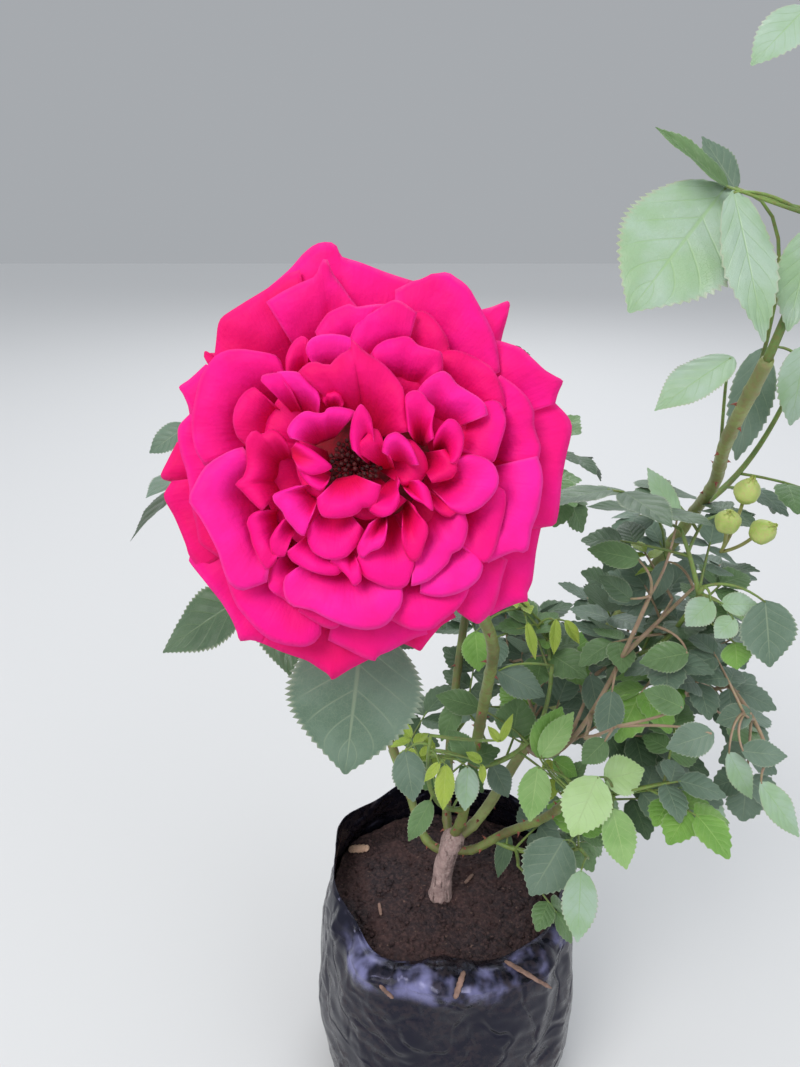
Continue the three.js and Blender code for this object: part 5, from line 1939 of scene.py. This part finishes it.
@dataclass
class Bloom:
    """The wide open bloom: its petals, the dark bowl of painted shade under them, stamens, hip and sepals."""

    finishes: Finishes
    centre: Triple = (-42.0, -207.0, 534.0)
    looks: Triple = (0.042, -0.946, 0.322)
    middle: Pair = (367.0, 460.0)
    film: float = 0.25
    root_share: float = 0.3
    root_width: float = 24.0
    belly: float = 1.1
    rim_curl: float = 0.9
    side_curl: float = 0.8
    wave: float = 0.6
    crumple: float = 1.1
    crumple_scale: float = 30.0
    under_petals: int = 9
    under_root: float = 30.0
    under_reach: float = 108.0
    under_turn: float = 26.0
    bowl: tuple[Pair, ...] = (
        (2, -27.5), (11, -24), (22, -17), (29, -11), (27, -6), (17, -4), (9, -6), (3, -7),
    )
    eye: Triple = (-3, -1, 0)
    threads: int = 70
    thread_radius: float = 0.22
    thread_spread: float = 0.75
    thread_foot: float = -6.0
    thread_tops: Pair = (0.5, 4.5)
    anther: tuple[float, ...] = (0.1, 0.55, 0.7, 0.5, 0.08)
    anther_length: float = 1.5
    hip: Pair = (-37.4, 9.6)
    hip_radii: Pair = (3.0, 3.9)
    sepals: int = 5
    sepal_size: Pair = (23.0, 7.5)
    sepal_seat: Pair = (4.5, -29.0)
    sepal_sweep: float = -0.95

    def __post_init__(self) -> None:
        """Sets up the bloom's own axes and the petals' grid."""
        self.out = unit(np.array(self.looks))
        right = unit(np.cross((0, 0, 1), self.out))
        self.axes = np.stack([right, np.cross(self.out, right), self.out])
        self.grid = Grid(26, 14)

    def place(self, plan: Array) -> Array:
        """Moves (right, up, out), or rows of them, into the bush's frame."""
        return np.array(self.centre) + plan @ self.axes

    def seen_at(self, spots: Array, out: Array) -> Array:
        """Points that show at pixels.

        Args:
            spots: Rows of pixels.
            out: How far each point stands out of the bloom's middle.

        Returns:
            Rows of points.
        """
        rays = VIEW.rays(spots[:, 0], spots[:, 1])
        eye = np.array(VIEW.place)
        depth = ((np.array(self.centre) - eye) @ self.out + out) / (rays @ self.out)
        return eye + rays * depth[:, None]

    def sheet(self, petal: Petal, chance: Chance) -> Shape:
        """One petal as a bent sheet that fans out from its root to its rim.

        Args:
            petal: Its place and rim.
            chance: The random numbers of its waves.

        Returns:
            The petal's sheet.
        """
        u, v = self.grid.u, self.grid.v
        phase = chance.between(0, 6)
        chord = petal.rim[-1] - petal.rim[0]
        chord = chord * min(self.root_share, self.root_width / float(np.linalg.norm(chord)))
        root = np.array(petal.root) + chord * (u / 2)[:, None]
        spots = root + (petal.rim_at((u + 1) / 2) - root) * (v**0.9)[:, None]
        out = mix(petal.root_out, petal.rim_out, 1 - (1 - v) ** 1.9)
        out += self.belly * np.sin(np.pi * v) - self.rim_curl * v**8 - self.side_curl * u**2 * v
        out += self.wave * np.sin(4 * u + phase + 3 * v) * v**2
        folds = lumps(np.column_stack([spots, u * 0 + phase * 50]), self.crumple_scale, 3)
        out += folds * self.crumple * v
        return self.grid.shape(self.seen_at(spots, out), petal.finish)

    def build(self) -> None:
        """Makes petals, heart, stamens and calyx."""
        petals = []
        for x, y, root_out, rim_out, finish, *rim in PETALS:
            rim = np.array(rim, float).reshape(-1, 2)
            petals.append(Petal((x, y), root_out, rim_out, finish, rim))
        for k in range(self.under_petals):
            turn = math.radians(360 / self.under_petals * k + 12)
            turns = turn + np.radians(np.linspace(-self.under_turn, self.under_turn, 7))
            root = polar(self.under_root, turn, 0)[:2] + self.middle
            rim = polar(self.under_reach, turns, 0)[:, :2] + self.middle
            # the petals underneath take the first finish, darkened with painted shade
            petals.append(Petal(tuple(root), -12, 0, 0, rim))
        chance = Chance(77)
        shape = Shape.join([self.sheet(petal, chance) for petal in petals])
        piece = make_piece("petals", shape, self.finishes.petals, ["bloom_petals"])
        thicken(piece, self.film, 0)
        self.heart()
        self.stamens()
        self.calyx()

    def heart(self) -> None:
        """The dark bowl under the petals: a sheet of painted shade that shows through the gaps between them.
        """
        template = Round(40, len(self.bowl) - 1)
        reach, height = (np.array(column)[template.ring] for column in zip(*self.bowl))
        shape = template.shape(self.place(polar(reach, template.bearing, height)))
        make_piece("bloom_heart", shape, [self.finishes.skins["heart"]])

    def stamens(self) -> None:
        """Threads with dark tips, in the bloom's eye."""
        chance = Chance(91)
        thread, tip = Round(4, 4), Round(6, 4)
        threads, tips = [], []
        for k in range(self.threads):
            a, r = math.radians(k * GOLDEN_ANGLE), self.thread_spread * math.sqrt(k)
            foot = polar(0.5 * r, a, self.thread_foot) + self.eye
            top = polar(r, a, chance.between(*self.thread_tops)) + self.eye
            arc = Arc(*self.place(np.array([foot, foot * [1, 1, 0] + [0, 0, 0.5], top])))
            radii = np.full(len(thread.shares), self.thread_radius)
            threads.append(thread.bent(arc.at(thread.shares), radii))
            rise = arc.along(1) * self.anther_length * tip.shares[:, None]
            tips.append(tip.bent(arc.at(1.0) + rise, np.array(self.anther)))
        make_piece("stamen_threads", Shape.join(threads), [self.finishes.skins["heart"]])
        make_piece("stamen_tips", Shape.join(tips), [self.finishes.skins["anther"]])

    def calyx(self) -> None:
        """The hip and its swept-back sepals."""
        hip = Round(24, 12)
        t = hip.shares
        (foot, length), (neck, swell) = self.hip, self.hip_radii
        axis = self.place(polar(0, 0, foot + length * t))
        shapes = [hip.bent(axis, neck + swell * np.sin(t * 1.7) ** 1.2)]
        sepals, (reach, height) = [], self.sepal_seat
        for k in range(self.sepals):
            a = math.radians(90 + 360 / self.sepals * k)
            along = unit(polar(1, a, self.sepal_sweep) @ self.axes)
            faces = square_to(self.out, along)
            base = self.place(polar(reach, a, height))
            sepals.append(Leaflet(base, along, faces, *self.sepal_size, -0.12, 0.3, k))
        shapes.append(Blade(6, 7).shapes(sepals, [0] * self.sepals))
        make_piece("calyx", Shape.join(shapes), [self.finishes.skins["bud"]], ["bloom_calyx"])


# Trunk, canes, prickles and buds


@dataclass
class Wood:
    """The woody stub, the green canes with their prickles, and the closed buds."""

    finishes: Finishes
    skeleton: Skeleton
    root_depth: float = 3.0
    fissure: Pair = (0.9, 3.2)
    swellings: Pair = (0.72, 7.0)
    # height, bearing, width and share along the stub of each knot
    knots: tuple[tuple[float, ...], ...] = ((1.6, 1.1, 0.45, 0.52), (1.2, -1.9, 0.4, 0.3))
    crown: float = 2.4
    flare_kept: float = 0.55
    joint: float = 0.4
    joint_gap: float = 34.0
    ribs: float = 0.22
    prickle_gap: float = 0.055
    prickle_lengths: Pair = (1.8, 3.6)
    prickle_radii: tuple[float, ...] = (1.25, 0.75, 0.42, 0.2, 0.05)
    bud_offsets: tuple[Triple, ...] = ((1, -11, 30.3), (-5.6, -14, 18.8), (6.7, -16, 15.6))
    bud_radius: float = 5.4
    bud_length: float = 12.5
    bud_sepals: int = 5
    pedicel_radius: float = 0.8

    def build(self) -> None:
        """Makes the stub, every cane, the prickles and the buds."""
        canes = [name for name in LIMBS if name != "trunk"]
        self.trunk()
        for name in canes:
            self.cane(name)
        self.prickles(canes)
        self.buds()

    def trunk(self) -> None:
        """The stub, with long fissures, knots and a callus where the canes spring."""
        template = Round(72, 90)
        path = self.skeleton.points("trunk", template.shares)
        path[0][2] = SOIL_TOP - self.root_depth
        a, t = template.bearing, template.t
        skin = polar(7, a, t * 14)
        (deep, fine), (high, broad) = self.fissure, self.swellings
        relief = lumps(skin * [1, 1, 3] + 40, broad, 3) * high - np.abs(lumps(skin, fine, 3)) * deep
        for height, bearing, width, place in self.knots:
            near = -(((a - bearing) / width) ** 2) - ((t - place) / 0.05) ** 2
            relief += height * np.exp(near)
        flare = self.skeleton.flare * self.flare_kept * np.exp(-self.skeleton.flare_fade * t)
        radii = self.skeleton.radii("trunk", template.shares)[template.ring] + 0.2
        reach = radii - flare + relief - smooth(0.93, 1.0, t) * self.crown
        shape = template.bent(path, reach, level=True)
        make_piece("trunk_bark", shape, [self.finishes.bark], ["trunk"])

    def cane(self, name: str) -> None:
        """A green cane with joints and a slightly ribbed skin.

        Args:
            name: The limb.
        """
        template = Round(20, 110)
        path = self.skeleton.points(name, template.shares)
        gone = lengths_along(path)
        joints = bell((gone / self.joint_gap) % 1, 0.5, 0.05) * self.joint
        radii = self.skeleton.radii(name, template.shares) + joints
        k = template.ring
        reach = radii[k] + lumps(polar(3, template.bearing, gone[k] / 5), 3, 3) * self.ribs
        reach = reach * np.where(template.t > 0.999, 0.9, 1)
        # the tall cane takes the paler skin, lightened with painted light
        skin = self.finishes.skins["tall" if name.startswith("tall") else "cane"]
        make_piece(name + "_skin", template.bent(path, reach), [skin], [name])

    def prickles(self, canes: Sequence[str]) -> None:
        """Small red-brown prickles, dealt along the canes by the golden angle.

        Args:
            canes: The limbs that bear them.
        """
        template, chance = Round(7, 4), Chance(211)
        shapes, bearing = [], 0.0
        for name in canes:
            for t in np.arange(0.16, 0.97, self.prickle_gap):
                bearing += GOLDEN_ANGLE
                along = self.skeleton.along(name, t)
                out = around(along, bearing)
                foot = self.skeleton.point(name, t) + out * (self.skeleton.radius(name, t) - 0.5)
                length = chance.between(*self.prickle_lengths)
                bend, end = foot + out * length * 0.6, foot + out * length - along * length * 0.45
                path = Arc(foot, bend, end).at(template.shares)
                shapes.append(template.bent(path, np.array(self.prickle_radii)))
        make_piece("prickles", Shape.join(shapes), [self.finishes.skins["prickle"]])

    def buds(self) -> None:
        """Three closed buds with their sepals, each on its stalk."""
        reach = np.array(MASSES["bud_cluster"].reach, float)
        body, stalk, blade = Round(20, 14), Round(8, 8), Blade(4, 5)
        buds, stalks = [], []
        t = body.shares
        swell = self.bud_radius * np.sin(np.pi * t**0.9) ** 0.6 * (1 - 0.16 * t) + 0.4
        neck = 1 - 0.1 * bell(body.t, 0.2, 0.05)
        for k, offset in enumerate(self.bud_offsets):
            top = reach + np.array(offset, float)
            out = unit(top - reach)
            sag = Arc(reach, (reach + top) / 2 + [1.5, 0, -2.5], top)
            radii = np.full(len(stalk.shares), self.pedicel_radius)
            stalks.append(stalk.bent(sag.at(stalk.shares), radii))
            ridges = 1 + 0.05 * np.cos(5 * (body.bearing + k)) * np.sin(np.pi * body.t)
            axis = top + out * (t[:, None] * self.bud_length - 1.5)
            buds.append(body.bent(axis, swell[body.ring] * ridges * neck))
            for j in range(self.bud_sepals):
                turn = around(out, 72 * j + 20 * k)
                base, tip = top + out * 1.2 + turn * 4.4, top + out * 15.0 + turn * 0.6
                line = unit(tip - base)
                sepal = Leaflet(base, line, square_to(turn, line), 13.0, 6.0, 0.1, -0.5, j)
                buds.append(blade.shapes([sepal], [0]))
        make_piece("buds", Shape.join(buds), [self.finishes.skins["bud"]])
        make_piece("bud_stalks", Shape.join(stalks), [self.finishes.skins["pedicel"]])


# Bag and soil


@dataclass
class Planter:
    """The soft film bag with its crumpled rim, and the loose soil in it."""

    finishes: Finishes
    base_radius: float = 80.0
    belly_radius: float = 90.0
    squareness: float = 2.7
    square_share: float = 0.75
    turn_under: float = 3.0
    height: float = 172.0
    fold_reach: float = 34.0
    fold_height: float = 156.0
    wall: float = 0.5
    collar_from: float = 0.7
    # scale and depth of the film's creases, and how far they may stand out
    broad_creases: Pair = (34, 2.4)
    fine_creases: Pair = (15, 2.2)
    crease_limit: float = 2.4
    bed_from: float = 0.2
    bed_height: float = 140.0
    bed_gap: float = 3.2
    bed_fall: float = 6.5
    clumps: tuple[Pair, Pair] = ((1.6, 22), (1.5, 6))
    crumbs: int = 1500
    # pixels of both ends, width, finish
    chips: tuple[tuple[float, ...], ...] = (
        (349, 850, 369, 849, 9, 0), (455, 999, 464, 972, 4.2, 1), (505, 962, 551, 989, 4, 1),
        (380, 986, 393, 999, 3.6, 1), (465, 884, 473, 875, 3, 1), (379, 904, 381, 916, 2.6, 1),
    )
    chip_swell: tuple[float, ...] = (0.5, 0.85, 0.8, 1, 0.75, 1, 0.8, 0.95, 0.7, 0.8, 0.35)

    @staticmethod
    def frontness(a: Array) -> Array:
        """How far the rim leans in over the soil: 1 at the middle of the front."""
        return np.maximum(0, -np.sin(a)) ** 1.3

    def radius(self, z: Values, a: Values) -> Values:
        """Distance of the bag's side from its axis, by the source's rule.

        Args:
            z: Height.
            a: Bearing.

        Returns:
            The distance.
        """
        power = self.squareness
        swell = np.sin(np.pi * np.minimum(1, 0.8 * (z / SOIL_TOP) + 0.1))
        outline = (np.abs(np.cos(a)) ** power + np.abs(np.sin(a)) ** power) ** (-1 / power)
        creases = 0.9 * np.sin(5 * a + z * 0.045) + 0.7 * np.sin(9 * a - z * 0.06)
        radius = self.base_radius + (self.belly_radius - self.base_radius) * swell
        radius = radius * (1 + (outline - 1) * self.square_share)
        foot = self.turn_under * np.clip(1 - z / 4, 0, 1) ** 2
        return radius + creases * np.minimum(1, z / 25) - foot

    def collar(self, s: Array, a: Array) -> tuple[Array, Array]:
        """The rim above the soil, by the source's rule.

        Args:
            s: Share from where it leaves the soil to its edge.
            a: Bearing.

        Returns:
            Radius and height.
        """
        wave = 0.6 * np.sin(7 * a + 1.3) + 0.4 * np.sin(4 * a + 0.4)
        radius = self.radius(SOIL_TOP, a)
        stand_r = radius + (2.2 * wave - 3) * s
        stand_z = SOIL_TOP + (self.height + 4 * wave - SOIL_TOP) * s
        hump = np.sin(np.pi * 0.9 * s) * (self.fold_height - SOIL_TOP)
        fold_r = radius - self.fold_reach * np.maximum(0, s - 0.25) * (1 + 0.18 * wave)
        fold_z = SOIL_TOP + 2.4 + hump + 1.5 * wave * s
        f = self.frontness(a)
        return mix(stand_r, fold_r, f), mix(stand_z, fold_z, f)

    def bag(self) -> None:
        """The film, as one sheet with a thickness: creased sides and a crumpled rim."""
        template = Round(300, 150, open_end=True)
        a, t, start = template.bearing, template.t, self.collar_from
        z = np.clip(t / start, 0, 1) * (SOIL_TOP - 5)
        s = np.clip((t - start) / (1 - start), 0, 1)
        r = self.radius(z, a)
        rim_r, rim_z = self.collar(s, a)
        r = mix(r, rim_r, smooth(start, 0.76, t))
        z = mix(z, rim_z, smooth(start, 0.74, t))
        spot = polar(90, a, z)
        (broad_scale, broad_depth), (fine_scale, fine_depth) = self.broad_creases, self.fine_creases
        broad = 1 - np.abs(lumps(spot * [1, 1, 0.5], broad_scale, 2)) * broad_depth
        fine = 1 - np.abs(lumps(spot + 300, fine_scale, 2)) * fine_depth
        collar, front = smooth(0.66, 0.8, t), self.frontness(a)
        push = (broad - 0.6) * (1.5 + collar * (1.5 + 3.5 * front))
        push += (fine - 0.5) * (0.55 + 0.5 * collar * front)
        push *= smooth(0.0, 0.06, t) * (1 - 0.6 * smooth(0.96, 1, t))
        lying = front * s
        r = r + np.minimum(push, self.crease_limit) * (1 - lying)
        points = polar(r, a, np.maximum(z + push * lying * 1.3, 0))
        self.carriers = points[(t > 0.72) & (points[:, 2] > SOIL_TOP - 4)]
        piece = make_piece("bag_film", template.shape(points), [self.finishes.film], ["bag"])
        thicken(piece, self.wall, -1)

    def soil(self) -> None:
        """The soil's clumpy bed, which fills the bag."""
        template = Round(220, 90)
        a, t, start = template.bearing, template.t, self.bed_from
        side = t < start
        wall_z = 2 + 134 * np.clip(t / start, 0, 1)
        share = np.clip((1 - t) / (1 - start), 0.004, 1)
        inner = self.radius(self.bed_height, a) - self.bed_gap
        r = np.where(side, self.radius(wall_z, a) - self.bed_gap - 1, inner * share)
        heap = SOIL_TOP - self.bed_fall * smooth(0.6, 1, share)
        for offset, (height, scale) in zip((0, 70), self.clumps):
            heap = heap + lumps(polar(r, a, 0.0) + offset, scale, 3 if offset else 2) * height
        points = polar(r, a, np.where(side, wall_z, heap))
        self.carriers = np.concatenate([self.carriers, points[~side]])
        make_piece("soil_bed", template.shape(points), [self.finishes.soil], ["soil"])

    def soil_at(self, x: float, y: float) -> float:
        """Height of the soil's broad form.

        Args:
            x: Place to the right of the bag's axis.
            y: Place behind it.

        Returns:
            The height.
        """
        inner = self.radius(self.bed_height, math.atan2(y, x)) - self.bed_gap
        height, scale = self.clumps[0]
        clump = float(lumps(np.array([[x, y, 0.0]]), scale, 2)[0]) * height
        return SOIL_TOP - self.bed_fall * float(smooth(0.6, 1, math.hypot(x, y) / inner)) + clump

    def loose_soil(self) -> None:
        """Crumbs of soil, joined."""
        chance = Chance(307)
        lump = bmesh.new()
        bmesh.ops.create_icosphere(lump, subdivisions=1, radius=1)
        corners = np.array([v.co for v in lump.verts])
        faces = [[v.index for v in f.verts] for f in lump.faces]
        lump.free()
        shapes = []
        for k in range(self.crumbs):
            share = math.sqrt(chance.between(0.0, 0.9))
            a = math.radians(k * GOLDEN_ANGLE + chance.between(0, 30))
            r = share * float(self.radius(self.bed_height, a) - 6)
            size = 0.5 + 1.9 * chance.between() ** 3
            squash = [chance.between(*span) for span in ((0.7, 1.2), (0.7, 1.2), (0.5, 0.9))]
            turn = chance.between(0, 6)
            c, s = math.cos(turn), math.sin(turn)
            body = corners * squash * size + np.sin(corners * 7 + k)[:, ::-1] * 0.18 * size
            body = body @ np.array([[c, s, 0], [-s, c, 0], [0, 0, 1]])
            x, y = r * math.cos(a), r * math.sin(a)
            body = body + [x, y, self.soil_at(x, y) + 0.2]
            shapes.append(Shape(body, faces, np.zeros((len(corners), 2))))
        make_piece("soil_crumbs", Shape.join(shapes), [self.finishes.soil])

    def litter(self) -> None:
        """The pale chip on the left of the soil, and brown slivers on the soil and the fold."""
        template = Round(9, 10)
        swell = np.array(self.chip_swell)
        shows, depth = VIEW.pixel(self.carriers), VIEW.depth(self.carriers)
        shapes = []
        for x0, y0, x1, y1, width, finish in self.chips:
            under = []
            for share in template.shares:
                here = np.array([mix(x0, x1, share), mix(y0, y1, share)])
                near = np.linalg.norm(shows - here, axis=1) < 5
                front = near & (depth < depth[near].min() + 6)
                under.append(VIEW.on_ray(*here, float(np.median(depth[front]))))
            fits = [np.polyfit(template.shares, column, 2) for column in np.array(under).T]
            path = np.column_stack([np.polyval(fit, template.shares) for fit in fits])
            path[:, 2] += 0.9
            body = template.bent(path, swell * width / 2)
            level = path[template.ring][:, 2]
            body.points[:, 2] = level + (body.points[:, 2] - level) * 0.4
            body.dealt = [finish] * len(body.faces)
            shapes.append(body)
        skins = self.finishes.skins
        make_piece("soil_chips", Shape.join(shapes), [skins["chip"], skins["straw"]])

    def build(self) -> None:
        """Makes bag and soil, and what lies on them."""
        self.bag()
        self.soil()
        self.loose_soil()
        self.litter()


# Stage


@dataclass
class Studio:
    """Plain pale floor, soft lights and the photograph's camera."""

    sensor: float = 36.0
    floor_size: float = 6.0
    floor_shade: float = 0.62
    sky: float = 0.72
    sky_colour: Triple = (0.86, 0.9, 0.95)
    aim: Triple = (0.0, -0.05, 0.38)
    # name, place, watts, size, colour
    lamps: tuple[tuple[str, Triple, float, float, Triple], ...] = (
        ("key", (-1.35, -1.85, 2.75), 66.0, 1.7, (1.0, 0.98, 0.96)),
        ("fill", (2.0, -1.6, 1.9), 17.0, 2.5, (0.92, 0.95, 1.0)),
        ("back", (0.35, 2.3, 2.4), 38.0, 2.2, (0.95, 0.97, 1.0)),
    )

    def build(self) -> None:
        """Makes floor, lights, sky and camera."""
        bpy.context.scene.view_settings.view_transform = "Standard"
        self.floor()
        self.lights()
        self.backdrop()
        self.camera()

    def floor(self) -> None:
        """A pale floor at the bag's underside."""
        shape = bmesh.new()
        bmesh.ops.create_grid(shape, x_segments=2, y_segments=2, size=self.floor_size)
        mesh = bpy.data.meshes.new("floor")
        shape.to_mesh(mesh)
        shape.free()
        material, n, shader = Finishes.start("pale_floor")
        n.feed(shader, {"Base Color": (*[self.floor_shade] * 3, 1), "Roughness": 0.85})
        mesh.materials.append(material)
        add_object("floor", mesh)

    def lights(self) -> None:
        """A large soft key from the upper left, a fill from the right, and a light behind."""
        for name, place, watts, size, tint in self.lamps:
            light = bpy.data.lights.new(name, "AREA")
            light.energy, light.shape, light.size, light.color = watts, "DISK", size, tint
            lamp = add_object(name, light)
            lamp.location = place
            way = Vector(self.aim) - Vector(place)
            lamp.rotation_euler = way.to_track_quat("-Z", "Y").to_euler()

    def backdrop(self) -> None:
        """A pale sky, which shows behind the floor in the floor's shade."""
        world = bpy.data.worlds.new("pale_sky")
        world.use_nodes = True
        n = Nodes(world.node_tree)
        seen = n.add("ShaderNodeLightPath").outputs["Is Camera Ray"]
        strength = n.line(seen, self.sky * (self.floor_shade - 1), self.sky)
        background = world.node_tree.nodes["Background"]
        n.feed(background, {"Color": (*self.sky_colour, 1), "Strength": strength})
        bpy.context.scene.world = world

    def camera(self) -> None:
        """The camera at the photograph's place, pitch and focal length."""
        data = bpy.data.cameras.new("photo_camera")
        data.sensor_width = self.sensor
        data.lens = VIEW.focal / max(VIEW.frame) * self.sensor
        data.clip_start = 0.01
        camera = add_object("photo_camera", data)
        camera.location = [c * MM for c in VIEW.place]
        camera.rotation_euler = (math.radians(90 - VIEW.pitch), 0, 0)
        bpy.context.scene.camera = camera


def main() -> None:
    """Builds the stage, the pot, the wood, the bloom and the foliage, in that order."""
    logging.basicConfig(level=logging.INFO, format="%(name)s: %(message)s")
    Studio().build()
    finishes, skeleton = Finishes(), Skeleton()
    Planter(finishes).build()
    Wood(finishes, skeleton).build()
    bloom = Bloom(finishes)
    bloom.build()
    Foliage(finishes, skeleton, Room(bloom.place(np.array([0, 0, -8])))).build()
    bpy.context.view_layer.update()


if __name__ == "__main__":
    main()
